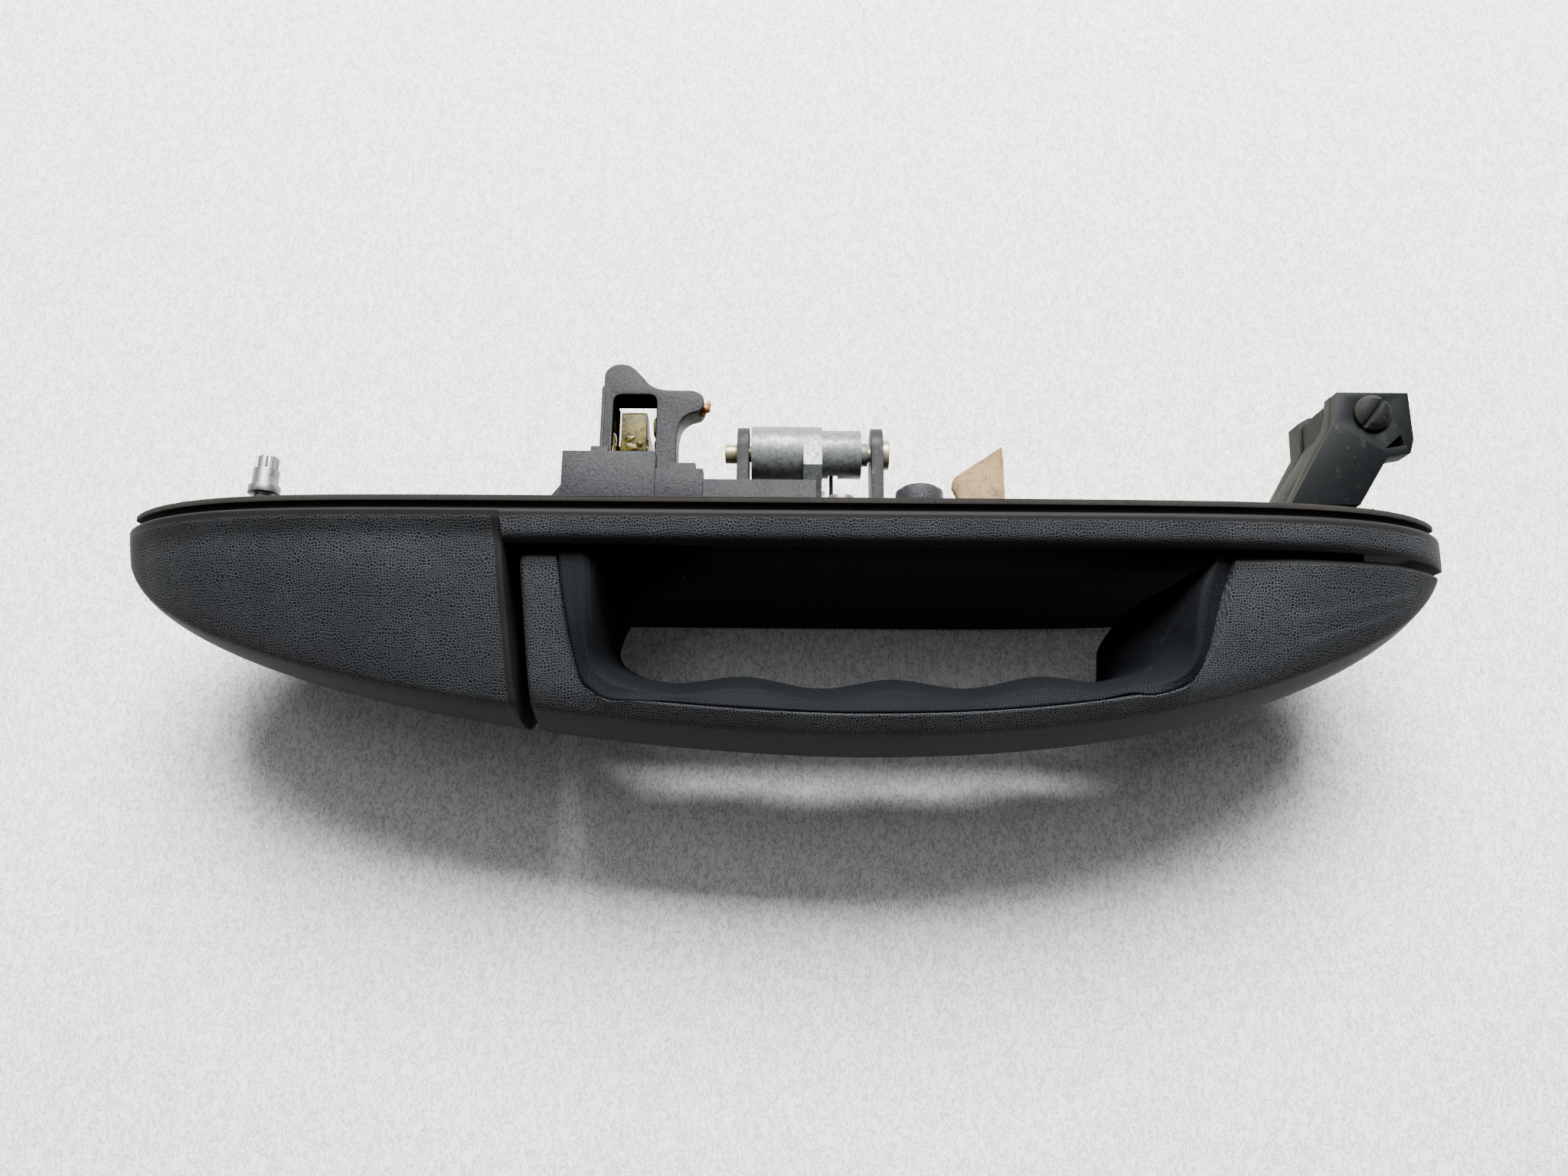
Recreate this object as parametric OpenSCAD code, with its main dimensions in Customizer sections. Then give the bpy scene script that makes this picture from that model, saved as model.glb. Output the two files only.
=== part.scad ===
// Exterior pull handle of a car door, as installed:
// +X runs along the handle towards its hinge end, +Y goes into the door, +Z is up.
// The origin lies in the door-side face of the gasket, level with the strap's middle.

/* [Base] */
// Length of the base from tip to tip
base_len = 240; // [236:1:244]
// Height of the base's top edge above the strap's middle
base_top = 20.3; // [19.8:0.1:21]
// Depth of the base's bottom edge below the strap's middle
base_bottom = 33; // [32:0.5:34]
// Wall of the hollow fixed panel
panel_wall = 2.6; // [2.2:0.1:3]
// X of the fixed panel's edge beside the strap, at the door skin
panel_end = -47.5; // [-48:0.1:-47.2]

/* [Strap] */
// How far the strap's front stands out from the door skin
strap_out = 42; // [41:0.5:43]
// X of the strap's free end, at the door skin
strap_left = -45.3; // [-45.6:0.1:-45]
// X of the strap's hinge end
strap_right = 116.9; // [116:0.1:117]
// Spacing of the finger waves
wave_pitch = 25.6; // [24:0.2:27]
// Half height of a finger wave
wave_rise = 0.85; // [0:0.05:1.2]

/* [Hinge] */
// X of the hinge axis
hinge_x = 104.5; // [104:0.1:105]
// Y of the hinge axis
hinge_y = 18.5; // [18:0.1:19]
// Radius of the hinge pin
hinge_pin_r = 2.5; // [2.4:0.05:2.6]
// Running clearance of the hinge pin in its bush
pin_clearance = 0.05; // [0.03:0.01:0.08]

/* [Crank] */
// Y of the crank's axis
crank_y = 19.3; // [19:0.1:19.6]
// Z of the crank's axis
crank_z = -13; // [-13.2:0.1:-12.8]
// Radius of the crank's pin
crank_pin_r = 1.6; // [1.5:0.05:1.7]
// Outer radius of the counterweight
weight_r = 5.5; // [5.3:0.1:5.7]
// Radius of the bore that takes the latch rod
rod_r = 1.3; // [1.2:0.05:1.4]

/* [Mounting] */
// Radius of the mounting stud's shank
stud_r = 2.3; // [2.2:0.05:2.5]
// Radius of the threaded hole in the fixing boss
boss_bore_r = 2.1; // [2:0.05:2.4]

/* [Hidden] */

half_len = base_len / 2;
back_y = -2.6;          // back of the base's rim
gasket_t = 2;           // gasket thickness
gasket_flange = 1.1;    // thickness of its flange
gasket_core_in = 2.6;   // how far its core is drawn in from the base's outline
floor_y = -5.2;         // front of the base's back wall, behind the strap
lip_y = -8.2;           // front of the base's upper lip
low_lip_y = -12.5;      // front of the base's lower lip
seat_y = -8.8;          // back of the strap's two ends
flange_y = -5.8;        // back of the flanges that carry hook leg and hinge arm
top_z = 16;             // top of the strap's ends
crease_z = 9.6;         // where the top slope turns into the front
low_z = -11.5;          // underside of the strap
peak_x = 12;            // where the strap stands out furthest
seam_left = -38.6;      // seam between shell and grip at the free end
seam_right = 76;        // seam between shell and grip at the hinge end
carrier_y = 1.5;        // door side of the carrier's plate
ear_t = 2.3;            // thickness of the crank bracket's ears
arm_z0 = 0.5;           // underside of the hinge arm
arm_z1 = 7.5;           // top of the hinge arm
hook_z0 = 2.3;          // underside of the hook leg
hook_z1 = 8;            // top of the hook leg
stud_x = -95.9;
stud_z = 2;
boss_x = 24.3;
boss_z = 6;
parting_lean = 0.085;   // the gap between panel and strap leans this far per mm outwards
seam_w = 0.25;          // half width of the seam groove between shell and grip
bracket_top = carrier_y + 1.6;
eye_y = crank_y - 9.5;  // rod eye of the crank
eye_z = crank_z - 3;
finger_x0 = -29.5;      // sides of the crank's finger
finger_x1 = -25;
post_x0 = -36;          // left side of the post between the crank's cross bar and its finger
bar_y0 = 13;            // sides of cross bar and post
bar_y1 = 16.6;
bar_z0 = crank_z - 11.2;
wire_r = 0.42;          // return spring
coil_r = 3.2;
coil_pitch = 1.1;
coil_x = 9.3;
screw_r = 1.25;
screw_head_r = 2.4;
// X and Z of the fixings
bumper_places = [[-38, -8.8], [78.6, 4]];
carrier_screw_places = [[-40.4, -22.5], [10, 8.5], [14, -23.4]];
bracket_screw_places = [[89.5, -7.8], [101, -7.8]];
hook_screw_places = [[-35.5, -2], [-35.5, 9.2]];
arm_screw_places = [[85, 4], [98, -3]];
rivet_places = [[0, -9], [12, -17]];
fine = 48;

function clamp01(t) = min(1, max(0, t));
function mix(a, b, t) = a + (b - a) * t;

// Upper and lower edge of the base, as heights over x
function top_edge(x) = base_top * pow(1 - pow(abs(x) / half_len, 7.5), 1 / 1.4);
function low_edge(x) = -base_bottom * pow(1 - pow(abs(x) / half_len, 4), 1 / 1.3);

// Plan line of the strap and panel front
function front_y(x) = let (d = abs(x - peak_x), left = x < peak_x,
        run = left ? half_len + 0.29 + peak_x : half_len + 0.5 - peak_x)
    -strap_out * pow(max(0, 1 - pow(d / run, left ? 1.65 : 2.18)), left ? 1 / 2.53 : 1 / 2.1);

// A closed skin through rings of points
module loft(rings) {
    n = len(rings[0]);
    m = len(rings);
    polyhedron(points = [for (r = rings) each r], faces = concat(
        [[for (i = [0 : n - 1]) i]],
        [[for (i = [n - 1 : -1 : 0]) (m - 1) * n + i]],
        [for (j = [0 : m - 2], i = [0 : n - 1])
            [j * n + i, (j + 1) * n + i, (j + 1) * n + (i + 1) % n]],
        [for (j = [0 : m - 2], i = [0 : n - 1])
            [j * n + i, (j + 1) * n + (i + 1) % n, j * n + (i + 1) % n]]),
        convexity = 8);
}

function at_x(x, yz) = [for (p = yz) [x, p[0], p[1]]];

// A ring in the leaning plane of the gap between panel and strap
function at_parting(x, yz) = [for (p = yz) [x - parting_lean * (p[0] + 8), p[0], p[1]]];

// An outline in the XZ plane, given thickness along Y
module wall_xz(y0, y1) {
    translate([0, y1, 0]) rotate([90, 0, 0]) linear_extrude(y1 - y0) children();
}

// An outline in the YZ plane, given thickness along X
module wall_yz(x0, x1) {
    translate([x0, 0, 0]) rotate([90, 0, 90]) linear_extrude(x1 - x0) children();
}

module slab(x0, x1, y0, y1, z0, z1) {
    translate([x0, y0, z0]) cube([x1 - x0, y1 - y0, z1 - z0]);
}

module rod_x(r, x0, x1, y = crank_y, z = crank_z) {
    translate([x0, y, z]) rotate([0, 90, 0]) cylinder(r = r, h = x1 - x0, $fn = fine);
}

module rod_y(r, y0, y1, x, z) {
    translate([x, y0, z]) rotate([-90, 0, 0]) cylinder(r = r, h = y1 - y0, $fn = fine);
}

module rod_z(r, z0, z1, x = hinge_x, y = hinge_y) {
    translate([x, y, z0]) cylinder(r = r, h = z1 - z0, $fn = fine);
}

module round_rect(x0, x1, z0, z1, r) {
    translate([x0 + r, z0]) square([x1 - x0 - 2 * r, z1 - z0]);
    translate([x0, z0 + r]) square([x1 - x0, z1 - z0 - 2 * r]);
    for (x = [x0 + r, x1 - r], z = [z0 + r, z1 - r]) translate([x, z]) circle(r = r, $fn = fine);
}

// ---- base ----

// Section of the base beside the panel: upper lip, back wall and lower lip.
// The pocket behind the strap fills up at the tip, and the lower lip grows out of the panel's foot
function base_section(x) = let (t = top_edge(x), b = low_edge(x), s = (t - b) / (base_top + base_bottom),
        fill = clamp01((x - 114.5) / 4), wall = mix(floor_y, lip_y + 0.05, fill),
        low = mix(lip_y, low_lip_y, s * clamp01((104 - x) / 24) * clamp01((x - panel_end) / 9)))
    [[back_y, t - 0.6 * s], [back_y - 0.8, t], [lip_y + 1, t - 0.9 * s], [lip_y, t - 2.6 * s],
        [lip_y + 0.2 * (1 - fill), t - 4.2 * s], [wall, t - 6.5 * s], [wall, mix(t, b, 0.35)],
        [wall, mix(t, b, 0.55)], [wall, b + 14 * s], [low + 0.6 * (1 - fill), b + 2.6 * s],
        [low, b + 1.4 * s], [low + 1.4, b + 0.5 * s], [back_y - 0.8, b], [back_y, b + 0.6 * s]];

// Section of the fixed panel, drawn in by w for its hollow, whose back is at y_back
function panel_section(x, w, y_back) = let (t = top_edge(x) - w, b = low_edge(x) + w, f = front_y(x) + w,
        d = back_y - f, c = crease_z * (t + w) / base_top - 0.7 * w, e = min(1, (t - b) / 20),
        band = back_y - min(4.3, 0.45 * d), foot = back_y - min(8.4, 0.6 * d))
    [[y_back, t - 0.6 * e], [back_y - 0.4, t], [mix(back_y, band, 0.8), t - 0.8 * e],
        [band, t - 2.2 * e], [mix(band, f, 0.45), mix(t - 2.2 * e, c, 0.4)], [f + 0.09 * d, c],
        [f + 0.02 * d, c * 0.5], [f, 0], [f + 0.03 * d, -c * 0.55],
        [f + 0.1 * d, -c * 1.1], [mix(f, foot, 0.6), mix(-c * 1.1, b, 0.55)],
        [foot, b + 1.2 * e], [back_y - 0.8, b], [y_back, b + 0.6 * e]];

// Stations along panel, base and hollow, closer together towards the tips
panel_stations = [for (i = [0 : 19]) mix(-half_len + 0.7, panel_end, 1 - cos(90 * i / 20))];
base_stations = [for (i = [1 : 28]) mix(panel_end, half_len - 0.8, sin(90 * i / 28))];
hollow_stations = [for (i = [0 : 12]) mix(-half_len + 7, panel_end - panel_wall, 1 - cos(90 * i / 12))];

module base_skin() {
    loft(concat([for (x = panel_stations) at_x(x, panel_section(x, 0, back_y))],
        [at_parting(panel_end, panel_section(panel_end, 0, back_y))],
        [at_parting(panel_end + 0.3, base_section(panel_end + 0.3))],
        [for (x = base_stations) at_x(x, base_section(x))]));
}

module base_bezel() {
    color([0.22, 0.23, 0.25]) difference() {
        union() {
            difference() {
                base_skin();
                loft([for (x = hollow_stations) at_x(x, panel_section(x, panel_wall, 0))]);
            }
            // boss of the stud's insert
            rod_y(5.5, front_y(stud_x) + 2, back_y, stud_x, stud_z);
            // ribs of the hollow panel
            for (x = [-80, -64]) slab(x - 0.8, x + 0.8, front_y(x) + 2.2, back_y - 1, -7, 7);
            // locating rib that the gasket sits on
            wall_xz(back_y - 0.5, -gasket_t) difference() {
                polygon(outline(gasket_core_in + 0.1));
                polygon(outline(gasket_core_in + 1.5));
            }
        }
        // seat of the stud's insert
        rod_y(3.4, -14, back_y + 1, stud_x, stud_z);
        // passage of the hook leg
        wall_xz(floor_y - 1, back_y + 1) round_rect(-34.8, -17, hook_z0 - 0.7, hook_z1 + 0.7, 1);
        // passage of the hinge arm
        wall_xz(floor_y - 1, back_y + 1) round_rect(86, 104, arm_z0 - 0.7, arm_z1 + 0.7, 1);
        // seats of the two bumpers and holes of the screws
        for (b = bumper_places) rod_y(1.5, floor_y - 1, back_y - 0.6, b[0], b[1]);
        for (s = concat(carrier_screw_places, bracket_screw_places))
            rod_y(screw_r, floor_y - 1, back_y + 1, s[0], s[1]);
    }
}

// Outline of the base drawn in by i, with its tips rounded off
function outline(i) = let (n = 40, reach = half_len - 1.5 - i,
        xs = [for (k = [0 : n]) reach * sin(90 * (2 * k / n - 1))])
    concat([for (x = xs) [x, max(0.6, top_edge(x * half_len / (half_len + 0.3)) - i)]],
        [for (k = [n : -1 : 0]) [xs[k], min(-0.6, low_edge(xs[k] * half_len / (half_len + 0.3)) + i)]]);

// A layer of the gasket, drawn in by i from the base's outline
module gasket_layer(i) {
    difference() {
        polygon(outline(i));
        round_rect(-44, 42, -28, 14.2, 3);
        // room for the hinge bracket's flange and for its ears
        round_rect(82, 108.2, -11.6, 10.6, 2.5);
        round_rect(82, 102, -12, 12.6, 1.5);
        translate([stud_x, stud_z]) circle(r = 3.9, $fn = fine);
    }
}

// The gasket's flange lies on the door; its core leaves a groove above the base's rim
module door_gasket() {
    color([0.23, 0.21, 0.2]) {
        wall_xz(-gasket_flange, 0) gasket_layer(1.4);
        wall_xz(-gasket_t, -gasket_flange) gasket_layer(gasket_core_in);
    }
}

// ---- strap ----

function seat_line(x) = seat_y - 1.6 * clamp01((x - 104) / 14);

// Plan line of the strap's inner side: free end, finger waves, sweep into the hinge end
function inner_y(x) = let (waves = -29.6 + wave_rise * cos(360 * (x - 19) / wave_pitch)
            + 0.0008 * pow(x - 14, 2))
    x < -29.4 ? seat_y
    : x < -24 ? mix(-24, waves, sin(90 * clamp01((x + 29.4) / 5)))
    : x < 56 ? waves
    : x < 76 ? mix(-27.2, seat_y, pow(clamp01((x - 56) / 19), 0.55))
    : seat_line(x);

function end_scale(x) = min(1, top_edge(x) / 19);

// Corner points that shell and grip share
function crest(x) = let (f = front_y(x), s = end_scale(x), k = min(1, (seat_line(x) - f) / 20))
    [f + 6.2 * k, (11.2 + 0.8 * clamp01((x + 31) / 6) * clamp01((70 - x) / 8)) * s];
function heel(x) = let (f = front_y(x), k = min(1, (seat_line(x) - f) / 20)) [f + 6 * k, low_z * low_scale(x)];
function low_scale(x) = min(1, -low_edge(x) / 14);
function split_y(x) = front_y(x) + 8;

// Front part of the section, from the crest over the front to the heel
function nose_points(x) = let (f = front_y(x), s = end_scale(x), l = low_scale(x),
        k = min(1, (seat_line(x) - f) / 20))
    [crest(x), [f + 3.2 * k, crease_z * s], [f + 0.8 * k, 5 * s], [f, 0], [f + 0.8 * k, -5 * l],
        [f + 3 * k, -9.5 * l], heel(x)];

// Whole section of the strap's two ends
function end_section(x) = let (b = seat_line(x), s = end_scale(x), l = low_scale(x))
    concat([[b, (top_z - 1.2) * s], [b - 1.2 * s, (top_z - 0.3) * s]], nose_points(x),
        [[mix(b, front_y(x), 0.04), low_z * l], [b, (low_z + 1) * l]]);

// Section of the shell between its ends, in front of the grip
function strip_section(x) = let (y = split_y(x))
    concat([[y, 1], [y, 6]], nose_points(x), [[y, -6], [y, -1]]);

// Section of the grip: a full block at the ends, a slim inner liner between
function grip_section(x) = let (y = inner_y(x), block = clamp01((y + 27) / 12), c = crest(x), h = heel(x))
    [[mix(y - 0.3, y, block), mix(6, top_z - 1.2, block)],
        [mix(y - 2.6, y - 1.2, block), mix(10.2, top_z - 0.3, block)], c,
        [split_y(x), 6], [split_y(x), -6], h,
        [mix(y - 2.4, y - 1.2, block), mix(-10.4, low_z, block)],
        [mix(y - 0.3, y, block), mix(-6, low_z + 1, block)]];

function spread(a, b, n) = [for (i = [0 : n]) mix(a, b, i / n)];
grip_stations = concat([seam_left, -34, -29.8, -29.39], spread(-28.6, -24, 5),
    spread(-21, 54, 25), spread(56, 62, 6), [64, 67, 70, 73, seam_right]);

module handle_shell() {
    color([0.22, 0.23, 0.25]) difference() {
        loft(concat([at_parting(strap_left, drawn_in(end_section(strap_left))),
            at_parting(strap_left + 0.8, end_section(strap_left)),
            at_x(seam_left - seam_w, end_section(seam_left))],
            [for (x = grip_stations) at_x(x, strip_section(x))],
            [for (x = spread(seam_right + seam_w, strap_right, 16)) at_x(x, end_section(x))]));
        for (s = arm_screw_places) rod_y(screw_r, -20, -7, s[0], s[1]);
    }
}

// A section shrunk a little about its middle, for a rounded end
function drawn_in(yz) = [for (p = yz) [mix(p[0], -23, 0.04), mix(p[1], 2, 0.06)]];

module handle_grip() {
    color([0.15, 0.155, 0.165]) {
        difference() {
            loft([for (x = grip_stations) at_x(x, grip_section(x))]);
            for (s = hook_screw_places) rod_y(screw_r, -20, -7, s[0], s[1]);
        }
        // web that widens the free end towards the base
        translate([0, 0, -9]) linear_extrude(10)
            polygon([[-33, -20], [-29.3, -20], [-27.6, -16.4], [-24.4, -12.8], [-20, -10.2],
                [-15, seat_y - 0.2], [-33, seat_y - 0.2]]);
    }
}

// ---- hook leg on the free end ----

module hook_leg() {
    color([0.12, 0.12, 0.13]) difference() {
        union() {
            // flange on the strap's seat, its corner cut away beside the strap's inner side
            wall_xz(seat_y, flange_y)
                polygon([[-39.5, -5.5], [-18.5, -5.5], [-18.5, 0], [-30, 12], [-39.5, 12]]);
            translate([0, 0, hook_z0]) linear_extrude(hook_z1 - hook_z0) difference() {
                union() {
                    polygon([[-33.8, flange_y], [-33.8, 26.4], [-32.6, 27.8], [-27, 28.2], [-25.2, 25.4],
                        [-22.4, 23.9], [-16.6, 23.9], [-14.8, 22.6], [-15, 20.4], [-17.4, 19],
                        [-19.2, 17.6], [-19.7, 15.4], [-19.7, flange_y]]);
                    translate([-29.9, 26.4]) circle(r = 2.6, $fn = fine);
                }
                translate([-31.3, 9]) square([7.8, 13.9]);
            }
            // ribs on the leg's outer side
            for (z = [3.4, 5.6]) slab(-34.3, -33.6, 4, 24, z, z + 1.1);
        }
        for (s = hook_screw_places) {
            rod_y(screw_r, -10, 0, s[0], s[1]);
            rod_y(screw_head_r, -7.4, 0, s[0], s[1]);
        }
    }
}

// A screw along Y whose head starts at head_y and whose tip is at tip_y
module screw_y(x, z, head_y, head_h, tip_y) {
    difference() {
        union() {
            rod_y(screw_head_r, head_y, head_y + head_h, x, z);
            rod_y(screw_r, tip_y, head_y, x, z);
        }
        for (a = [0, 60, 120]) translate([x, head_y + head_h, z]) rotate([0, a, 0])
            cube([2.6, 1.6, 0.7], center = true);
    }
}

module hook_screws() {
    color([0.6, 0.61, 0.62]) for (s = hook_screw_places) screw_y(s[0], s[1], -7.4, 1.4, -19.5);
}

// ---- hinge end ----

module pivot_arm() {
    color([0.13, 0.13, 0.14]) difference() {
        union() {
            slab(82.2, 101.5, seat_y, flange_y, -5.6, 9.8);
            translate([0, 0, arm_z0]) linear_extrude(arm_z1 - arm_z0) union() {
                polygon([[87.6, flange_y], [100, flange_y], [101, 3], [108.6, 12.2], [108.6, 18.5],
                    [103, 23.2], [100.4, 23.2], [97.4, 20.8], [97.2, 15.8], [88.6, 3]]);
                translate([hinge_x, hinge_y]) circle(r = 5.2, $fn = fine);
            }
        }
        rod_z(3.5, arm_z0 - 1, arm_z1 + 1);
        for (s = arm_screw_places) {
            rod_y(screw_r, -10, 0, s[0], s[1]);
            rod_y(screw_head_r, -7.4, 0, s[0], s[1]);
        }
    }
}

module arm_screws() {
    color([0.6, 0.61, 0.62]) for (s = arm_screw_places) screw_y(s[0], s[1], -7.4, 1.4, -19.5);
}

module pivot_bush() {
    color([0.75, 0.72, 0.62]) difference() {
        rod_z(3.5, arm_z0, arm_z1);
        rod_z(hinge_pin_r + pin_clearance, arm_z0 - 1, arm_z1 + 1);
    }
}

module ear_outline(tail) {
    polygon(concat([[88.4, carrier_y], [100.6, carrier_y], [106.4, 10.4], [110.6, 11.2], [111.4, 13.8],
        [111.4, 22.6]], tail));
}

module pivot_bracket() {
    color([0.13, 0.13, 0.14]) difference() {
        union() {
            // flange on the base
            wall_xz(back_y, carrier_y) polygon([[83, -11], [104, -11], [107.5, -6], [107.5, 6.6], [104, 10],
                [83, 10]]);
            // lower ear
            translate([0, 0, -4.2]) linear_extrude(4.3)
                ear_outline([[99, 22.6], [96.9, 21.4], [96.7, 15.4]]);
            // upper ear, with a stepped outer side
            translate([0, 0, 7.9]) linear_extrude(2.1) ear_outline([[98.4, 22.6], [97, 16.6]]);
            translate([0, 0, 10]) linear_extrude(2.2) ear_outline([[98.6, 22.6], [97.6, 16.8]]);
            // web that joins the two ears behind the arm's end
            slab(110.3, 111.4, 13.8, 22.6, -4.2, 12.2);
        }
        // passage of the hinge arm
        wall_xz(back_y - 1, carrier_y + 1) round_rect(86, 104, arm_z0 - 0.6, arm_z1 + 0.6, 0.8);
        // triangular lightening window in the ears
        translate([0, 0, -5]) linear_extrude(18) polygon([[106.2, 12], [109.8, 12.6], [109.2, 14.6]]);
        rod_z(hinge_pin_r, -6, 14);
        for (s = bracket_screw_places) rod_y(screw_r, back_y - 1, carrier_y + 1, s[0], s[1]);
    }
}

module pivot_pin() {
    color([0.1, 0.1, 0.11]) difference() {
        translate([hinge_x, hinge_y, 0]) rotate_extrude($fn = fine)
            polygon([[0, -6.6], [1.6, -6.6], [3, -4.9], [3, -4.2], [hinge_pin_r, -4.2],
                [hinge_pin_r, 12.2], [3.3, 12.2], [3.3, 12.9], [2.4, 13.8], [0, 14.1]]);
        translate([hinge_x, hinge_y, 13.6]) rotate([0, 0, 52]) cube([8, 1, 2], center = true);
        translate([hinge_x, hinge_y, -5.4]) rotate([0, 0, 52]) cube([8, 1, 3], center = true);
    }
}

module bracket_screws() {
    color([0.6, 0.61, 0.62]) for (s = bracket_screw_places) screw_y(s[0], s[1], carrier_y, 1.8, -5);
}

// ---- guide carrier and crank bracket ----

module guide_carrier() {
    color([0.12, 0.12, 0.13]) difference() {
        union() {
            wall_xz(back_y, carrier_y) polygon([[-41, -26], [17, -26], [19, -24], [19, 10], [17, 12],
                [-40.8, 12], [-42.6, 9.6], [-42.6, -24]]);
            // upper block with a slanted left end
            translate([0, 0, 9]) linear_extrude(3) polygon([[-41.8, 1], [-38.4, 5.4], [5.5, 5.4], [5.5, 1]]);
            // bridge over the hook leg, its step and two small tabs
            slab(-39.2, -22.8, 1, 10.2, 9.6, 12.8);
            slab(-22.9, -14.4, 1, 7.2, 9.4, 12.4);
            slab(-34.4, -31.4, 9.6, 11.4, 9.6, 12);
            slab(-20.4, -15.8, 6.6, 8.4, 9.4, 12);
            // cheeks beside the hook leg
            slab(-38.6, -35.1, 1, 9.6, -2, 9.7);
            slab(-16.6, -13.8, 1, 4.6, -2, 9.5);
        }
        // passage of the hook leg, and room for the finger when the crank has swung
        slab(-34.8, -17, back_y - 1, carrier_y + 1, hook_z0 - 0.7, hook_z1 + 0.7);
        slab(-31, -23.5, -1.5, carrier_y + 1, -1.5, hook_z0);
        for (s = carrier_screw_places) rod_y(screw_r, back_y - 1, carrier_y + 1, s[0], s[1]);
        for (s = rivet_places) rod_y(1.2, back_y - 1, carrier_y + 1, s[0], s[1]);
    }
}

module carrier_screws() {
    color([0.6, 0.61, 0.62]) for (s = carrier_screw_places) screw_y(s[0], s[1], carrier_y, 1.8, -5);
}

module ear(x0) {
    wall_yz(x0, x0 + ear_t) union() {
        polygon([[carrier_y, crank_z - 8], [carrier_y + 5, crank_z - 4.6], [crank_y, crank_z - 5.2],
            [crank_y, crank_z + 5.2], [carrier_y + 5, crank_z + 4.6], [carrier_y, crank_z + 8]]);
        translate([crank_y, crank_z]) circle(r = 5.2, $fn = fine);
    }
}

module crank_bracket() {
    color([0.11, 0.11, 0.12]) difference() {
        union() {
            slab(-9.4, 19.2, carrier_y, bracket_top, crank_z - 7.4, crank_z + 7.4);
            ear(-9.4);
            ear(16.9);
        }
        rod_x(crank_pin_r, -12, 22);
        for (s = rivet_places) rod_y(1.2, 0, 6, s[0], s[1]);
    }
}

module bracket_rivets() {
    color([0.55, 0.55, 0.55]) for (s = rivet_places) {
        rod_y(1.2, back_y + 0.1, bracket_top, s[0], s[1]);
        rod_y(2, bracket_top, bracket_top + 0.9, s[0], s[1]);
    }
}

module crank_pin() {
    color([0.72, 0.66, 0.45]) {
        rod_x(1.9, -11.9, -9.4);
        rod_x(crank_pin_r, -9.4, 19.2);
        rod_x(3, 19.2, 20.6);
    }
}

// ---- bell crank ----

module bell_crank() {
    color([0.62, 0.64, 0.63]) difference() {
        union() {
            rod_x(2.3, 7, 16.4);
            rod_x(3.2, -6.6, 4);
            rod_x(weight_r, 3.6, 7.2);
            // small drum, a cup around the spring
            rod_x(4.8, 7, 15);
            // arm to the rod eye
            rod_x(4, 3.6, 7.2, eye_y, eye_z);
            wall_yz(3.6, 7.2) polygon([[crank_y + 1, crank_z + 5.4], [crank_y - 4.5, crank_z + 7],
                [eye_y - 3, eye_z + 2.6], [eye_y + 1, eye_z - 3.8], [crank_y, crank_z - 5.4]]);
            // cross bar under the free end, its post and the finger in the hook leg's window
            slab(3.6, 7.2, bar_y0, crank_y + 2.4, bar_z0, crank_z);
            slab(post_x0, 7.2, bar_y0, bar_y1, bar_z0, bar_z0 + 3.6);
            slab(post_x0, post_x0 + 3.6, bar_y0, bar_y1, bar_z0, -2);
            slab(post_x0, finger_x1, bar_y0, bar_y1, -5.6, -2);
            wall_yz(finger_x0, finger_x1) polygon([[bar_y0, -5.6], [bar_y1, -5.6], [bar_y1, 3],
                [crank_y - 0.4, 6], [crank_y - 0.4, 9], [crank_y - 1, 9.6], [11.6, 9.2], [11.2, 8.8], [11.2, 5],
                [bar_y0, 2.4]]);
        }
        // bore of the pin
        rod_x(crank_pin_r + pin_clearance, -8, 18);
        // hollow of the small drum, and the slot where the spring's leg leaves it
        difference() {
            rod_x(4.05, 8.6, 15.5);
            rod_x(2.3, 8, 16);
        }
        slab(8.6, 10.5, crank_y - 6, crank_y - 1, crank_z - 5.2, crank_z - 2.4);
        slab(8.6, 10.5, crank_y - 6, crank_y - 2.4, crank_z - 2.5, crank_z + 0.8);
        // rod eye
        rod_x(2, 3, 8, eye_y, eye_z);
    }
}

module counterweight() {
    color([0.6, 0.62, 0.6]) difference() {
        rod_x(weight_r, -6.6, 3.6);
        rod_x(3.2, -7, 4);
        // balance dimple
        rod_y(0.5, crank_y - 7, crank_y - 4.6, -4.6, crank_z);
    }
}

module rod_clip() {
    color([0.85, 0.85, 0.8]) difference() {
        union() {
            rod_x(2, 3.1, 7.7, eye_y, eye_z);
            rod_x(2.9, 2.4, 3.6, eye_y, eye_z);
            rod_x(2.7, 7.2, 8, eye_y, eye_z);
        }
        rod_x(rod_r, 2, 9, eye_y, eye_z);
    }
}

// Ring of eight points around the wire, where the coil has turned by a
function wire_ring(c, a) = [for (b = [0 : 45 : 315])
    c + wire_r * [-sin(b), cos(b) * cos(a), cos(b) * sin(a)]];

module return_spring() {
    // the leg that rests on the bracket runs straight into the first of four and a quarter turns
    color([0.5, 0.5, 0.52]) loft(concat(
        [wire_ring([coil_x, bracket_top + 0.1, crank_z - coil_r], 270)],
        [for (i = [0 : 85]) let (a = 270 + 18 * i)
            wire_ring([coil_x + coil_pitch * i / 20, crank_y + coil_r * cos(a), crank_z + coil_r * sin(a)], a)]));
}

// ---- fixings ----

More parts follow.
